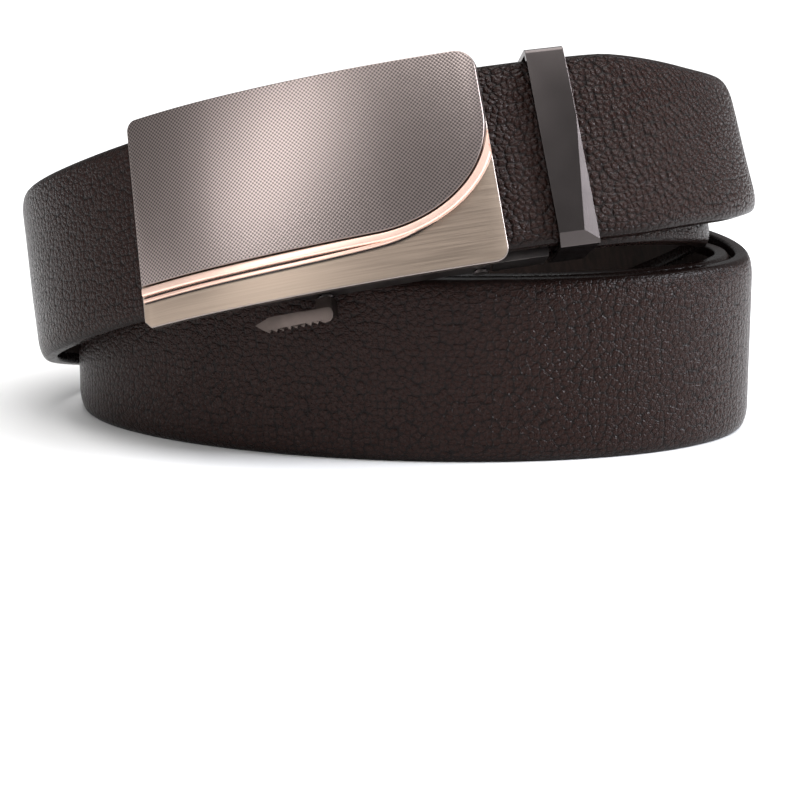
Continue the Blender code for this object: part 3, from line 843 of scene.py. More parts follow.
def cross_section(width: float, low: float, high: float) -> Mesh:
    """Start a body with a rectangle that stands across the strap.

    Args:
        width: The rectangle's width across the strap.
        low: Its lowest distance outward.
        high: Its highest distance outward.

    Returns:
        A mesh with that one face.
    """
    mesh = bmesh.new()
    bmesh.ops.create_grid(mesh, x_segments=1, y_segments=1, size=0.5)
    stand = Matrix(((0.0, 0.0, 1.0), (1.0, 0.0, 0.0), (0.0, 1.0, 0.0)))
    bmesh.ops.rotate(mesh, verts=mesh.verts, matrix=stand)
    bmesh.ops.scale(mesh, verts=mesh.verts, vec=(1.0, width, high - low))
    bmesh.ops.translate(mesh, verts=mesh.verts, vec=(0.0, 0.0, (low + high) / 2))
    return mesh


class Rounding(Enum):
    """What a rounding works on: a flat face's corners or a body's edges."""

    CORNERS = "VERTICES"
    EDGES = "EDGES"


def round_off(mesh: Mesh, items: Iterable, radius: float, steps: int, kind: Rounding) -> None:
    """Round corners or edges.

    Args:
        mesh: The mesh that holds them.
        items: The corners' vertices, or the edges.
        radius: The size of the rounding.
        steps: How many faces or edges it has.
        kind: What is rounded.
    """
    bmesh.ops.bevel(
        mesh,
        geom=list(items),
        offset=radius,
        segments=steps,
        profile=0.5,
        affect=kind.value,
        material=-1,
        clamp_overlap=kind is Rounding.EDGES,
    )


def bisect(mesh: Mesh, point: Sequence[float], normal: Sequence[float], trim: bool) -> list:
    """Cut a mesh with a plane.

    Args:
        mesh: The mesh to cut.
        point: A point on the plane.
        normal: The plane's normal.
        trim: Whether what lies on the normal's side is cut off.

    Returns:
        The edges on the cut.
    """
    cut = bmesh.ops.bisect_plane(
        mesh,
        geom=mesh.verts[:] + mesh.edges[:] + mesh.faces[:],
        dist=WELD,
        plane_co=point,
        plane_no=normal,
        clear_outer=trim,
    )
    return [item for item in cut["geom_cut"] if isinstance(item, bmesh.types.BMEdge)]


def slice_along(mesh: Mesh, step: float) -> None:
    """Cut a flat body into short lengths so that it can be bent.

    Args:
        mesh: The body.
        step: The lengths' size.
    """
    first = min(vertex.co.x for vertex in mesh.verts)
    last = max(vertex.co.x for vertex in mesh.verts)
    place = math.ceil(first / step) * step
    while place < last:
        bisect(mesh, (place, 0.0, 0.0), (1.0, 0.0, 0.0), trim=False)
        place += step


def map_flat(mesh: Mesh) -> None:
    """Keep each point's flat place, along and across, as the piece's own map.

    Args:
        mesh: The flat mesh.
    """
    layer = mesh.loops.layers.uv.new(FLAT_MAP)
    for face in mesh.faces:
        for loop in face.loops:
            loop[layer].uv = (loop.vert.co.x, loop.vert.co.y)


def add_object(name: str, data: bpy.types.ID) -> Piece:
    """Put an object into the scene.

    Args:
        name: The object's name.
        data: Its mesh, light or camera.

    Returns:
        The object, at the origin.
    """
    item = bpy.data.objects.new(name, data)
    bpy.context.scene.collection.objects.link(item)
    return item


def new_piece(name: str, mesh: Mesh, finishes: Sequence[Material], sharp: float = 40.0) -> Piece:
    """Turn a closed mesh into an object.

    Args:
        name: The object's name.
        mesh: The mesh, in the object's frame. It is freed.
        finishes: The materials, by slot.
        sharp: The angle in degrees from which an edge stays sharp.

    Returns:
        The object, at the origin.
    """
    bmesh.ops.recalc_face_normals(mesh, faces=mesh.faces)
    if mesh.calc_volume(signed=True) < 0.0:
        bmesh.ops.reverse_faces(mesh, faces=mesh.faces)
    open_edges = sum(1 for edge in mesh.edges if len(edge.link_faces) != 2)
    data = bpy.data.meshes.new(name)
    mesh.to_mesh(data)
    mesh.free()
    for finish in finishes:
        data.materials.append(finish)
    data.shade_smooth()
    data.set_sharp_from_angle(angle=math.radians(sharp))
    LOG.info("%s: %d faces, %d open edges", name, len(data.polygons), open_edges)
    return add_object(name, data)


def seat(item: Piece, body: str, slot: str, *nodes: str) -> None:
    """Make a piece ride on a body, in place of nodes.

    Args:
        item: The piece.
        body: The body's name.
        slot: The record's material slot; not used.
        nodes: The names of the solids that it stands for.
    """
    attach(item, body)
    if nodes:
        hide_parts(*nodes)


@dataclass
class Strap:
    """The padded leather strap and its lining.

    A tip cut is a section in the tip's rounded end, as a share of the
    rounding. The swell scales are in features to the metre.
    """

    coil: Coil
    outside: Material
    inside: Material
    width: float = STRAP_WIDTH
    thick: float = STRAP_THICK
    shoulder: float = 0.0045
    shoulder_drop: float = 0.0015
    shoulder_steps: int = 9
    back_round: float = 0.0005
    back_steps: int = 3
    girth_cuts: int = 13
    clamp_start: float = 0.0315
    tip_taper: float = 0.044
    tip_width: float = 0.026
    tip_corner: float = 0.0045
    tip_bulge: float = 0.0012
    tip_cuts: tuple[float, ...] = (0.84, 0.68, 0.52, 0.38, 0.25, 0.14, 0.06, 0.0)
    step: float = 0.0024
    swell: float = 0.00010
    swell_along: float = 55.0
    swell_across: float = 90.0
    lining_inset: float = 0.0021
    lining_proud: float = 0.00016
    lining_round: float = 0.000128
    lining_steps: int = 2
    sharp: float = 60.0
    total: float = field(init=False)
    start: float = field(init=False)

    def __post_init__(self) -> None:
        """Find where the strap starts and ends on the coil."""
        self.total = self.coil.lengths[-1]
        above = self.coil.buckle_at + self.clamp_start + SHEET + SEAT_GAP
        angle = self.coil.angle_at(above) - self.coil.turns * 2.0 * math.pi
        self.start = self.coil.length_at(angle)

    @property
    def half(self) -> float:
        """Return half the strap's thickness."""
        return self.thick / 2

    @property
    def flat(self) -> float:
        """Return half the width of the strap's flat part."""
        return self.width / 2 - self.shoulder

    def build(self) -> None:
        """Build the leather and its lining."""
        seat(self.leather(), "belt", "leather", "strap")
        seat(self.lining(), "belt", "leather")

    def stations(self, spare: float) -> list[float]:
        """Set out the strap's sections.

        Args:
            spare: How far the first and last stay clear of the strap's ends.

        Returns:
            Their lengths along the coil.
        """
        run = self.total - self.tip_corner - self.start - spare
        count = math.ceil(run / self.step)
        even = [self.start + spare + run * i / count for i in range(count + 1)]
        ends = [self.tip_corner * cut for cut in self.tip_cuts]
        return even + [self.total - left for left in ends if left >= spare]

    def draw_out(self, mesh: Mesh, spare: float = 0.0) -> None:
        """Draw a section out along the strap.

        Args:
            mesh: The section, a mesh with one face.
            spare: How far the body stays clear of the strap's ends.
        """
        stations = self.stations(spare)
        steps = [(after - before, 0.0, 0.0) for before, after in zip(stations, stations[1:])]
        first = Matrix.Translation((stations[0], 0.0, 0.0))
        extrude_along(mesh, first, [Matrix.Translation(step) for step in steps])

    def half_width(self, left: float) -> float:
        """Work out half the strap's width.

        Args:
            left: The distance from the tip's end.

        Returns:
            Half the width there.
        """
        if left >= self.tip_taper:
            return self.width / 2
        end = self.tip_width / 2
        half = end + (self.width / 2 - end) * left / self.tip_taper
        if left < self.tip_corner:
            past = self.tip_corner - max(left, 0.0)
            half -= self.tip_corner - math.sqrt(self.tip_corner**2 - past**2)
        return half

    def leather(self) -> Piece:
        """Extrude the padded section, shape the tip and coil the strap."""
        mesh = self.section()
        self.draw_out(mesh)
        self.map_girth(mesh)
        self.mark_rim(mesh)
        self.shape(mesh)
        self.coil.bend(mesh)
        return new_piece("strap_leather", mesh, [self.outside], self.sharp)

    def section(self) -> Mesh:
        """Return the strap's section, with wide shoulders on its outer side."""
        mesh = cross_section(2.0 * (self.flat + self.shoulder_drop), -self.half, self.half)
        outer = [vertex for vertex in mesh.verts if vertex.co.z > 0.0]
        round_off(mesh, outer, self.shoulder_drop, self.shoulder_steps, Rounding.CORNERS)
        stretch = self.shoulder / self.shoulder_drop
        for vertex in mesh.verts:
            past = abs(vertex.co.y) - self.flat
            if past > 0.0:
                vertex.co.y = math.copysign(self.flat + past * stretch, vertex.co.y)
        inner = [vertex for vertex in mesh.verts if vertex.co.z < 0.0]
        round_off(mesh, inner, self.back_round, self.back_steps, Rounding.CORNERS)
        for edge in [edge for edge in mesh.edges if edge.calc_length() > self.width / 2]:
            bmesh.ops.subdivide_edges(mesh, edges=[edge], cuts=self.girth_cuts)
        return mesh

    def map_girth(self, mesh: Mesh) -> None:
        """Map the leather by its length and its way round the section.

        Args:
            mesh: The flat strap.
        """
        layer = mesh.loops.layers.uv.new(FLAT_MAP)
        for face in mesh.faces:
            centre = face.calc_center_median()
            side = math.copysign(1.0, centre.y)
            behind = centre.z < -self.half + self.back_round
            for loop in face.loops:
                x, y, z = loop.vert.co
                if behind:
                    girth = side * (self.width + self.thick) - y
                else:
                    girth = y + side * (self.half - z)
                loop[layer].uv = (x, girth)

    def mark_rim(self, mesh: Mesh) -> None:
        """Mark how far each point has dropped from the strap's outer face.

        Args:
            mesh: The flat strap.
        """
        layer = mesh.verts.layers.float.new(RIM_MAP)
        for vertex in mesh.verts:
            drop = (self.half - vertex.co.z) / self.shoulder_drop
            left = self.total - vertex.co.x
            end = max(0.0, 1.0 - left / self.tip_corner) ** 2
            vertex[layer] = min(1.0, max(drop, end))

    def shape(self, mesh: Mesh) -> None:
        """Taper and round the tip, and give the padding a slight swell.

        Args:
            mesh: The flat strap.
        """
        for vertex in mesh.verts:
            x, y, z = vertex.co
            left = max(self.total - x, 0.0)
            edge = self.half_width(left)
            if abs(y) <= self.flat:
                y *= (edge - self.shoulder) / self.flat
            else:
                y = math.copysign(abs(y) - (self.width / 2 - edge), y)
            if left < self.tip_corner:
                share = 1.0 - left / self.tip_corner
                fall = 1.0 - math.sqrt(1.0 - share**2)
                z = -self.half + (z + self.half) * (1.0 - self.shoulder_drop / self.thick * fall)
                x += self.tip_bulge * share
            wave = noise.noise(Vector((x * self.swell_along, y * self.swell_across, 0.0)))
            vertex.co = (x, y, z + wave * self.swell * (z + self.half) / self.thick)

    def lining(self) -> Piece:
        """Extrude the lining that is glued to the strap's inner side."""
        full = self.width / 2 - self.lining_inset
        mesh = cross_section(2.0 * full, -self.half - self.lining_proud, -self.half + SEAT_GAP)
        outer = [vertex for vertex in mesh.verts if vertex.co.z < -self.half]
        round_off(mesh, outer, self.lining_round, self.lining_steps, Rounding.CORNERS)
        self.draw_out(mesh, self.lining_inset)
        map_flat(mesh)
        for vertex in mesh.verts:
            edge = self.half_width(self.total - vertex.co.x)
            vertex.co.y *= (edge - self.lining_inset) / full
        self.coil.bend(mesh)
        return new_piece("strap_lining", mesh, [self.inside], self.sharp)


@dataclass(frozen=True)
class Line:
    """A line of metal along the woven panel's edge.

    Its near side is given by its distance from that edge. It ends, and it starts to run in under
    the band, at shares of the face's length. The near-black strip among them is painted shade in
    the groove beside the bead.
    """

    name: str
    finish: Material
    near: float
    width: float
    thick: float
    end: float = 1.0
    merge: float = 1.0


@dataclass
class BuckleFace:
    """The brushed plate, the woven panel and the rose lines of the buckle."""

    coil: Coil
    brushed: Material
    woven: Material
    rose: Material
    edge: Material
    side: Material
    # Near-black finish of the strip that stands in for the shadow in the groove beside the bead:
    # painted shade.
    groove_shade_paint: Material
    length: float = 0.0672
    height: float = 0.0396
    drop: float = 0.0006
    base_thick: float = 0.0016
    panel_thick: float = 0.0012
    bevel: float = 0.00020
    bevel_steps: int = 3
    left_inset: float = 0.0007
    trim_width: float = 0.0015
    bead_width: float = 0.0006
    bead_thick: float = 0.0007
    bead_space: float = 0.0005
    crown_share: float = 0.25
    crown_steps: int = 5
    left_share: float = 0.805
    low_share: float = 0.785
    turn_share: float = 0.67
    end_share: float = 0.31
    bead_end: float = 0.88
    bead_merge: float = 0.40
    merge_power: float = 2.4
    # Sizes of the strip of painted groove shade.
    groove_shade_rim: float = 0.0003
    groove_shade_thick: float = 0.00006
    top_left: float = 0.0020
    top_right: float = 0.0035
    low_left: float = 0.0014
    low_right: float = 0.0025
    corner_steps: int = 8
    short_corner_steps: int = 6
    step: float = 0.0012
    arc_steps: int = 26
    front_facing: float = 0.999

    @property
    def base_back(self) -> float:
        """Return how far out the plate's back lies."""
        return self.coil.strap_thick / 2 + SLIDE_GAP + SHEET + SEAT_GAP

    @property
    def base_front(self) -> float:
        """Return how far out the plate's front lies."""
        return self.base_back + self.base_thick

    @property
    def panel_back(self) -> float:
        """Return how far out the backs of the panel and the lines lie."""
        return self.base_front + SEAT_GAP

    def build(self) -> None:
        """Build the five pieces of the face."""
        seat(self.base_plate(), "belt", "brushed_plate", "base_plate")
        seat(self.panel(), "belt", "woven_metal", "textured_panel")
        band = Line("face_band", self.rose, SEAT_GAP, self.trim_width, self.panel_thick)
        below = SEAT_GAP + self.trim_width
        ends = (self.bead_end, self.bead_merge)
        bead = Line(
            "face_bead", self.rose, below + self.bead_space, self.bead_width, self.bead_thick, *ends
        )
        # A thin near-black sheet under and beside the bead stands in for the groove's shadow:
        # painted shade.
        groove_shade_width = self.bead_space + self.bead_width + self.groove_shade_rim
        groove_shade_strip = Line("face_groove_shade", self.groove_shade_paint, below, groove_shade_width, self.groove_shade_thick, *ends)
        seat(self.line(band), "belt", "rose_metal", "curved_trim")
        seat(self.line(bead), "belt", "rose_metal", "trim_bead")
        seat(self.line(groove_shade_strip), "belt", "dark_metal")

    def plate(self, radii: dict[tuple[int, int], tuple[float, int]]) -> Mesh:
        """Start a plate of the face's size.

        Args:
            radii: A radius and a number of steps for each corner that is
                rounded, by the signs of its place.

        Returns:
            A mesh with one flat face.
        """
        mesh = bmesh.new()
        bmesh.ops.create_grid(mesh, x_segments=1, y_segments=1, size=0.5)
        bmesh.ops.scale(mesh, verts=mesh.verts, vec=(self.length, self.height, 1.0))
        for (side, top), (radius, steps) in radii.items():
            reach = (side * self.length / 2, top * self.height / 2)
            corner = min(mesh.verts, key=lambda v: math.dist(v.co.xy, reach))
            round_off(mesh, [corner], radius, steps, Rounding.CORNERS)
        return mesh

    def thicken(self, mesh: Mesh, back: float, thick: float) -> None:
        """Give a flat plate its thickness, its rounded front rim and its place.

        Args:
            mesh: The plate, a mesh with one flat face.
            back: How far out its back lies.
            thick: Its thickness.
        """
        faces = list(mesh.faces)
        geometry = bmesh.ops.extrude_face_region(mesh, geom=faces)["geom"]
        verts = [item for item in geometry if isinstance(item, bmesh.types.BMVert)]
        bmesh.ops.translate(mesh, verts=verts, vec=(0.0, 0.0, thick))
        bmesh.ops.recalc_face_normals(mesh, faces=mesh.faces)
        front = [e for e in mesh.edges if all(vertex.co.z > thick / 2 for vertex in e.verts)]
        rim = [edge for edge in front if edge.calc_face_angle(0.0) > STEEP]
        round_off(mesh, rim, self.bevel, self.bevel_steps, Rounding.EDGES)
        for face in mesh.faces:
            face.material_index = 0 if face.normal.z > self.front_facing else 1
        slice_along(mesh, self.step)
        bmesh.ops.translate(mesh, verts=mesh.verts, vec=(0.0, -self.drop, back))

    def bend(self, mesh: Mesh, name: str, finishes: Sequence[Material]) -> Piece:
        """Map a flat body, bend it onto the buckle and make it a piece.

        Args:
            mesh: The body, drawn as (along, across, out).
            name: The piece's name.
            finishes: Its materials, by slot.

        Returns:
            The piece.
        """
        map_flat(mesh)
        self.coil.bend(mesh, self.coil.buckle_at, self.base_front)
        return new_piece(name, mesh, finishes)

    def base_plate(self) -> Piece:
        """Build the brushed plate under the whole face."""
        mesh = self.plate({
            (1, 1): (self.top_right, self.corner_steps),
            (-1, 1): (self.top_left, self.short_corner_steps),
            (-1, -1): (self.low_left, 1),
            (1, -1): (self.low_right, self.corner_steps),
        })
        self.thicken(mesh, self.base_back, self.base_thick)
        return self.bend(mesh, "face_plate", [self.brushed, self.edge])

    def panel(self) -> Piece:
        """Build the woven panel, cut along the curve of the trim."""
        mesh = self.plate({(1, 1): (self.top_right, self.corner_steps)})
        left = self.left_inset - self.length / 2
        bisect(mesh, (left, 0.0, 0.0), (-1.0, 0.0, 0.0), trim=True)
        corner = min(mesh.verts, key=lambda v: v.co.x - v.co.y)
        round_off(mesh, [corner], self.top_left, self.short_corner_steps, Rounding.CORNERS)
        curve = self.curve(0.0)
        for before, after in zip(curve, curve[1:]):
            run = Vector((after[0] - before[0], after[1] - before[1])).normalized()
            bisect(mesh, (*before, 0.0), (run.y, -run.x, 0.0), trim=True)
        self.thicken(mesh, self.panel_back, self.panel_thick)
        return self.bend(mesh, "face_panel", [self.woven, self.side])

    def curve(self, inset: float) -> list[Point]:
        """Return the trim's curve across the face.

        Args:
            inset: How far the curve is moved towards the face's lower right.

        Returns:
            The curve's points from the left end to the right edge.
        """
        left = -self.length / 2
        turn = left + self.length * self.turn_share
        begin = left + (self.left_inset if inset else 0.0)
        top = self.height / 2
        centre = top - self.height * self.end_share
        drop = self.height * (self.low_share - self.end_share)
        curve = [(left, top - self.height * self.left_share)]
        for index in range(self.arc_steps + 1):
            angle = math.radians(270.0 + 90.0 * index / self.arc_steps)
            reach = (self.length / 2 - turn) * math.cos(angle)
            curve.append((turn + reach, centre + drop * math.sin(angle)))
        moved = []
        for index, (x, y) in enumerate(curve):
            before = curve[max(index - 1, 0)]
            after = curve[min(index + 1, len(curve) - 1)]
            slope = Vector((after[0] - before[0], after[1] - before[1])).normalized()
            moved.append((x + slope.y * inset, y - slope.x * inset))
        moved[0] = (begin, moved[0][1])
        return moved

    def spread(self, path: list[Point]) -> list[Point]:
        """Add points to a path's first, straight part.

        Args:
            path: The path's points.

        Returns:
            The points with the added ones.
        """
        first, second = path[:2]
        count = int((second[0] - first[0]) / self.step)
        shares = [index / count for index in range(count)]
        added = [tuple(a + (b - a) * share for a, b in zip(first, second)) for share in shares]
        return added + path[1:]

    def merged(self, path: list[Point], line: Line) -> list[Point]:
        """Run a path in under the band towards its end.

        Args:
            path: The path's points.
            line: The line that follows the path.

        Returns:
            The moved points.
        """
        moved = []
        begin = self.length * line.merge - self.length / 2
        run = self.length * (line.end - line.merge)
        under = self.spread(self.curve(self.trim_width / 2))
        for point, hidden in zip(path, under):
            share = min(max((point[0] - begin) / run, 0.0), 1.0) ** self.merge_power
            moved.append(tuple(a + (b - a) * share for a, b in zip(point, hidden)))
        return moved

    def sweep(self, path: list[Point], section: Mesh) -> None:
        """Extrude a section along a path on the face.

        Args:
            path: The path's points.
            section: A mesh with one face, drawn about the path's middle.
        """
        frames = []
        for index, (x, y) in enumerate(path):
            before = path[max(index - 1, 0)]
            after = path[min(index + 1, len(path) - 1)]
            turn = math.atan2(after[1] - before[1], after[0] - before[0])
            frames.append(Matrix.Translation((x, y, 0.0)) @ Matrix.Rotation(turn, 4, "Z"))
        moves = [after @ before.inverted() for before, after in zip(frames, frames[1:])]
        extrude_along(section, frames[0], moves)

    def line(self, line: Line) -> Piece:
        """Build a line of metal on the plate.

        Args:
            line: The line's sizes.

        Returns:
            The piece.
        """
        body = cross_section(line.width, 0.0, line.thick)
        crown = [vertex for vertex in body.verts if vertex.co.z > line.thick / 2]
        round_off(body, crown, line.width * self.crown_share, self.crown_steps, Rounding.CORNERS)
        limit = self.length / 2
        path = self.spread(self.curve(line.near + line.width / 2))
        if line.end < 1.0:
            path = self.merged(path, line)
            path = [point for point in path if point[0] < self.length * line.end - limit]
        self.sweep(path, body)
        if line.end >= 1.0:
            cut = bisect(body, (limit, 0.0, 0.0), (1.0, 0.0, 0.0), trim=True)
            bmesh.ops.holes_fill(body, edges=cut, sides=0)
        bmesh.ops.translate(body, verts=body.verts, vec=(0.0, -self.drop, self.panel_back))
        return self.bend(body, line.name, [line.finish])


@dataclass
class Keeper:
    """The polished loop round both layers of the strap."""

    coil: Coil
    polish: Material
    place: float = 0.0430
    width: float = 0.0072
    wall: float = 0.0010
    corner: float = 0.0010
    corner_steps: int = 8
    rim: float = 0.00017
    rim_steps: int = 2
    facet_share: float = 0.36
    facet_width: float = 0.0030
    facet_depth: float = 0.00070
    foot_height: float = 0.0025
    foot_depth: float = 0.0009
    end_facing: float = 0.9
    sharp: float = 13.0

    def build(self) -> None:
        """Build the loop with its diagonal facet and its lower bevel."""
        strap_face = self.coil.strap_thick / 2
        half = self.coil.strap_width / 2 + SLIDE_GAP + self.wall
        front = strap_face + SLIDE_GAP + self.wall
        back = -self.coil.stack - strap_face - SLIDE_GAP - self.wall
        mesh = bmesh.new()
        bmesh.ops.create_cube(mesh, size=1.0)
        bmesh.ops.scale(mesh, verts=mesh.verts, vec=(self.width, 2.0 * half, front - back))
        centre = (self.place + self.width / 2, 0.0, (front + back) / 2)
        bmesh.ops.translate(mesh, verts=mesh.verts, vec=centre)
        corners = [e for e in mesh.edges if abs((e.verts[0].co - e.verts[1].co).x) > self.rim]
        round_off(mesh, corners, self.corner, self.corner_steps, Rounding.EDGES)
        self.hollow(mesh)
        self.cut_facet(mesh, half, front)
        rims = [edge for edge in mesh.edges if edge.calc_face_angle(0.0) > STEEP]
        round_off(mesh, rims, self.rim, self.rim_steps, Rounding.EDGES)
        map_flat(mesh)
        self.coil.bend(mesh, self.coil.buckle_at)
        piece = new_piece("keeper_band", mesh, [self.polish], self.sharp)
        seat(piece, "belt", "dark_metal", "keeper_loop")

    def hollow(self, mesh: Mesh) -> None:
        """Open the block into a loop with walls of one thickness.

        Args:
            mesh: The block.
        """
        ends = [face for face in mesh.faces if abs(face.normal.x) > self.end_facing]
        bmesh.ops.inset_individual(mesh, faces=ends, thickness=self.wall)
        loops = [edge for face in ends for edge in face.edges]
        bmesh.ops.delete(mesh, geom=ends, context="FACES_ONLY")
        bmesh.ops.bridge_loops(mesh, edges=loops)
        bmesh.ops.recalc_face_normals(mesh, faces=mesh.faces)

    def cut_facet(self, mesh: Mesh, half: float, front: float) -> None:
        """Cut the facet that widens down the front's right side, and the lower bevel.

        Args:
            mesh: The loop.
            half: Half its height.
            front: How far out its front lies.
        """
        right = self.place + self.width
        start = Vector((right, half * (1.0 - 2.0 * self.facet_share), front))
        low = Vector((right - self.facet_width, -half, front))
        deep = Vector((right, -half, front - self.facet_depth))
        outward = (low - start).cross(deep - start).normalized()
        if outward.z < 0.0:
            outward.negate()
        foot = Vector((right, self.foot_height - half, front))
        lean = Vector((0.0, -self.foot_depth, self.foot_height)).normalized()
        for point, normal in ((start, outward), (foot, lean)):
            cut = bisect(mesh, point, normal, trim=True)
            bmesh.ops.contextual_create(mesh, geom=cut)


@dataclass
class Works:
    """The buckle's frame, clamp, pins, track and release lever."""

    frame: dict
    steel: Material
    lever_steel: Material
    plastic: Material
    sharp: float = 32.0
    flat_angle: float = math.radians(0.4)
    rounding_angle: float = math.radians(40.0)
    rounding_steps: int = 2

    def build(self) -> None:
        """Soften each solid's edges and dress it."""
        for node, body, slot, finish, radius in (
            ("buckle_frame", "belt", "plated_steel", self.steel, 0.00014),
            ("strap_clamp", "belt", "plated_steel", self.steel, 0.00014),
            ("hinge_pin", "belt", "plated_steel", self.steel, 0.00014),
            ("pawl", "lever", "plated_steel", self.steel, 0.00010),
            ("pivot_pin", "lever", "plated_steel", self.steel, 0.00010),
            ("release_lever", "lever", "plated_steel", self.lever_steel, 0.00012),
            ("ratchet_track", "belt", "track_plastic", self.plastic, 0.00005),
        ):
            seat(self.softened(node, finish, radius), body, slot, node)

    def softened(self, node: str, finish: Material, radius: float) -> Piece:
        """Copy a solid and round its edges.

        Args:
            node: The solid's name.
            finish: Its material.
            radius: The size of the rounding.

        Returns:
            The copy.
        """
        mesh = bmesh.new()
        mesh.from_mesh(self.frame["nodes"][node].data)
        bmesh.ops.remove_doubles(mesh, verts=mesh.verts, dist=WELD)
        bmesh.ops.dissolve_limit(
            mesh, verts=mesh.verts, edges=mesh.edges, angle_limit=self.flat_angle
        )
        piece = new_piece(node + "_soft", mesh, [finish], self.sharp)
        bevel = piece.modifiers.new("rounding", "BEVEL")
        bevel.width = radius
        bevel.segments = self.rounding_steps
        bevel.limit_method = "ANGLE"
        bevel.angle_limit = self.rounding_angle
        bevel.use_clamp_overlap = True
        return piece


def aim(item: Piece, direction: Vector) -> None:
    """Turn a light to shine in a direction."""
    item.rotation_euler = direction.to_track_quat("-Z", "Y").to_euler()


@dataclass(frozen=True)
class Softbox:
    """A soft studio light that looks at the belt."""

    name: str
    place: Place
    target: Place
    size: Point
    power: float
    colour: Colour = (1.0, 1.0, 1.0)

    def build(self) -> None:
        """Hang the light."""
        lamp = bpy.data.lights.new(self.name, "AREA")
        lamp.shape = "RECTANGLE"
        lamp.size, lamp.size_y = self.size
        lamp.energy = self.power
        lamp.color = self.colour
        item = add_object(self.name, lamp)
        item.location = self.place
        aim(item, Vector(self.target) - Vector(self.place))


STRIP = Softbox("strip", (-0.61, -0.72, 0.60), (-0.01, -0.04, 0.05), (0.17, 0.80), 2.9)
SIDE = Softbox(
    "side", (0.94, -0.16, 0.52), (0.06, -0.02, 0.05), (0.42, 0.40), 15.5, (0.90, 0.93, 1.0)
)
CARD = Softbox("card", (0.36, -0.56, 1.02), (0.045, -0.04, 0.06), (0.50, 0.34), 0.75)


@dataclass
class Studio:
    """The pale floor, the soft lights and the camera."""

    camera_place: Place = (0.00425, -0.41936, 0.09857)
    camera_pitch: float = math.radians(12.91)
    camera_clip: Point = (0.01, 50.0)
    focal_pixels: float = 2063.5
    photo_pixels: float = 800.0
    sensor: float = 36.0
    floor_half: float = 4.0
    floor_colour: Colour = (0.90, 0.895, 0.89)
    floor_paler: float = 1.03
    floor_roughness: float = 0.9
    floor_specular: float = 0.1
    world_colour: Colour = (0.98, 0.99, 1.0)
    world_strength: float = 0.30
    canopy_power: float = 3.3
    canopy_spread: float = math.radians(62.0)
    canopy_aim: Place = (-0.16, -0.08, -1.0)
    softboxes: tuple[Softbox, ...] = (STRIP, SIDE, CARD)

    def build(self) -> None:
        """Build the floor, hang the lights and set the camera."""
        self.floor()
        self.world()
        self.camera()
        self.canopy()
        for softbox in self.softboxes:
            softbox.build()
        bpy.context.scene.view_settings.view_transform = "Standard"

    def canopy(self) -> None:
        """Light the floor evenly from a wide soft canopy overhead."""
        lamp = bpy.data.lights.new("canopy", "SUN")
        lamp.energy = self.canopy_power
        lamp.angle = self.canopy_spread
        aim(add_object("canopy", lamp), Vector(self.canopy_aim))

    def floor(self) -> None:
        """Lay the floor."""
        mesh = bmesh.new()
        bmesh.ops.create_grid(mesh, x_segments=8, y_segments=8, size=self.floor_half)
        data = bpy.data.meshes.new("floor")
        mesh.to_mesh(data)
        mesh.free()
        book = NodeBook("floor_paper")
        cloud = book.noise(book.object_place(), 3.0)
        paler = scaled(self.floor_colour, self.floor_paler)
        data.materials.append(book.finish({
            "Base Color": book.blend(cloud, self.floor_colour, paler),
            "Roughness": self.floor_roughness,
            "Specular IOR Level": self.floor_specular,
        }))
        add_object("floor", data)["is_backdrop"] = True

    def world(self) -> None:
        """Fill the room with soft light."""
        world = bpy.data.worlds.new("room")
        world.use_nodes = True
        background = world.node_tree.nodes["Background"]
        background.inputs["Color"].default_value = rgba(self.world_colour)
        background.inputs["Strength"].default_value = self.world_strength
        bpy.context.scene.world = world

    def camera(self) -> None:
        """Stand the camera where the photograph was taken from."""
        lens = bpy.data.cameras.new("camera")
        lens.sensor_width = self.sensor
        lens.lens = self.focal_pixels * self.sensor / self.photo_pixels
        lens.clip_start, lens.clip_end = self.camera_clip
        item = add_object("camera", lens)
        item.location = self.camera_place
        item.rotation_euler = (math.pi / 2 - self.camera_pitch, 0.0, 0.0)
        bpy.context.scene.camera = item


def corners() -> list[list[float]]:
    """Return the whole object's lowest and highest corners."""
    return [[float(value) for value in corner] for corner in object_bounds()]


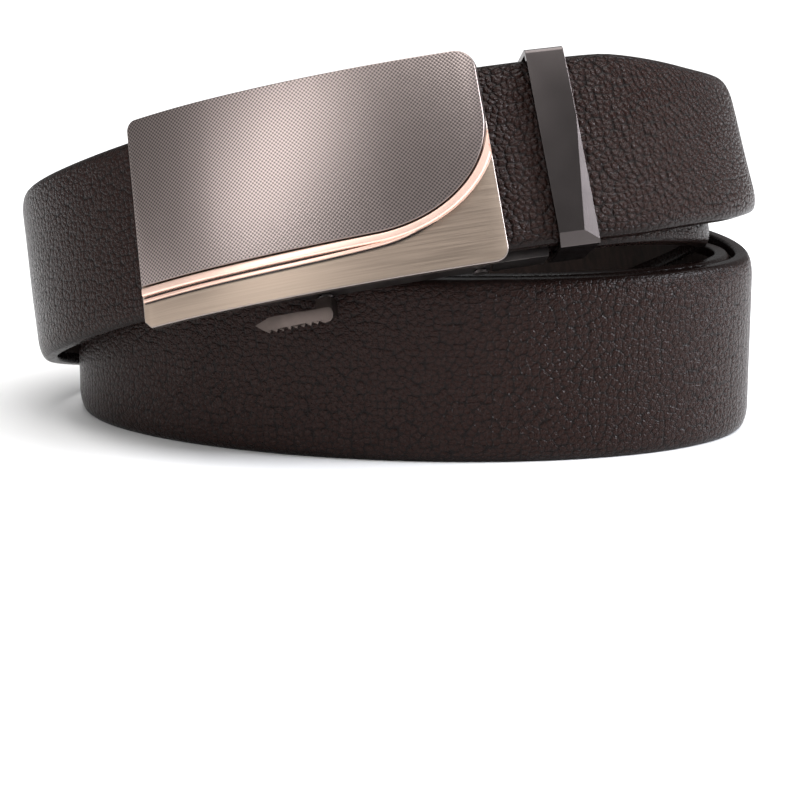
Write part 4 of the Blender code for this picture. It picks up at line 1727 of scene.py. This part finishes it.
def main() -> None:
    """Build every piece in order."""
    logging.basicConfig(level=logging.INFO, format="%(name)s: %(message)s")
    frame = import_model()
    coil = Coil()
    LOG.info("coil: %.3f m of line", coil.lengths[-1])

    hide = Leather(
        "brown_pebbled_leather",
        Grain.PEBBLED,
        # Painted shade in the pebbles' creases.
        crease_shade_and_fibre_tone=(0.0062, 0.0031, 0.0026),
        body=(0.0185, 0.0083, 0.0066),
        roughness=0.25,
        specular=0.11,
        depth=0.00038,
        tip_from=coil.lengths[-1] - 0.12,
    )
    split = Leather(
        "brown_split_leather",
        Grain.SPLIT,
        crease_shade_and_fibre_tone=(0.010, 0.006, 0.0048),
        body=(0.030, 0.017, 0.013),
        roughness=0.62,
        specular=0.25,
        depth=0.00019,
    )
    Strap(coil, hide.make(), split.make()).build()

    brushed = Metal("brushed_champagne", Surface.BRUSHED, (0.45, 0.355, 0.283), 0.38)
    woven = Metal("woven_gunmetal", Surface.WOVEN, (0.45, 0.370, 0.348), 0.30)
    rose = Metal("rose_gold", Surface.POLISHED, (1.0, 0.70, 0.58), 0.32, metallic=0.6)
    nickel = Metal("polished_nickel", Surface.POLISHED, (0.28, 0.24, 0.22), 0.28)
    side = Metal("panel_side", Surface.POLISHED, (0.26, 0.215, 0.20), 0.30)
    # Near-black and not metallic: painted shade for the groove beside the bead.
    groove_shade_paint = Metal("painted_groove_shade", Surface.POLISHED, (0.012, 0.008, 0.007), 0.35, metallic=0.0)
    BuckleFace(
        coil,
        brushed=brushed.make(),
        woven=woven.make(),
        rose=rose.make(),
        edge=nickel.make(),
        side=side.make(),
        groove_shade_paint=groove_shade_paint.make(),
    ).build()

    gunmetal = Metal("polished_gunmetal", Surface.POLISHED, (0.100, 0.087, 0.085), 0.20)
    Keeper(coil, gunmetal.make()).build()

    steel = Metal("dark_nickel", Surface.PLATED, (0.20, 0.18, 0.175), 0.26)
    lever_steel = Metal("lever_nickel", Surface.PLATED, (0.11, 0.088, 0.08), 0.32)
    plastic = Plastic("track_black", (0.012, 0.012, 0.012), 0.45)
    Works(frame, steel.make(), lever_steel.make(), plastic.make()).build()
    Studio().build()
    LOG.info("studio: floor, lights and camera")


if __name__ == "__main__":
    main()
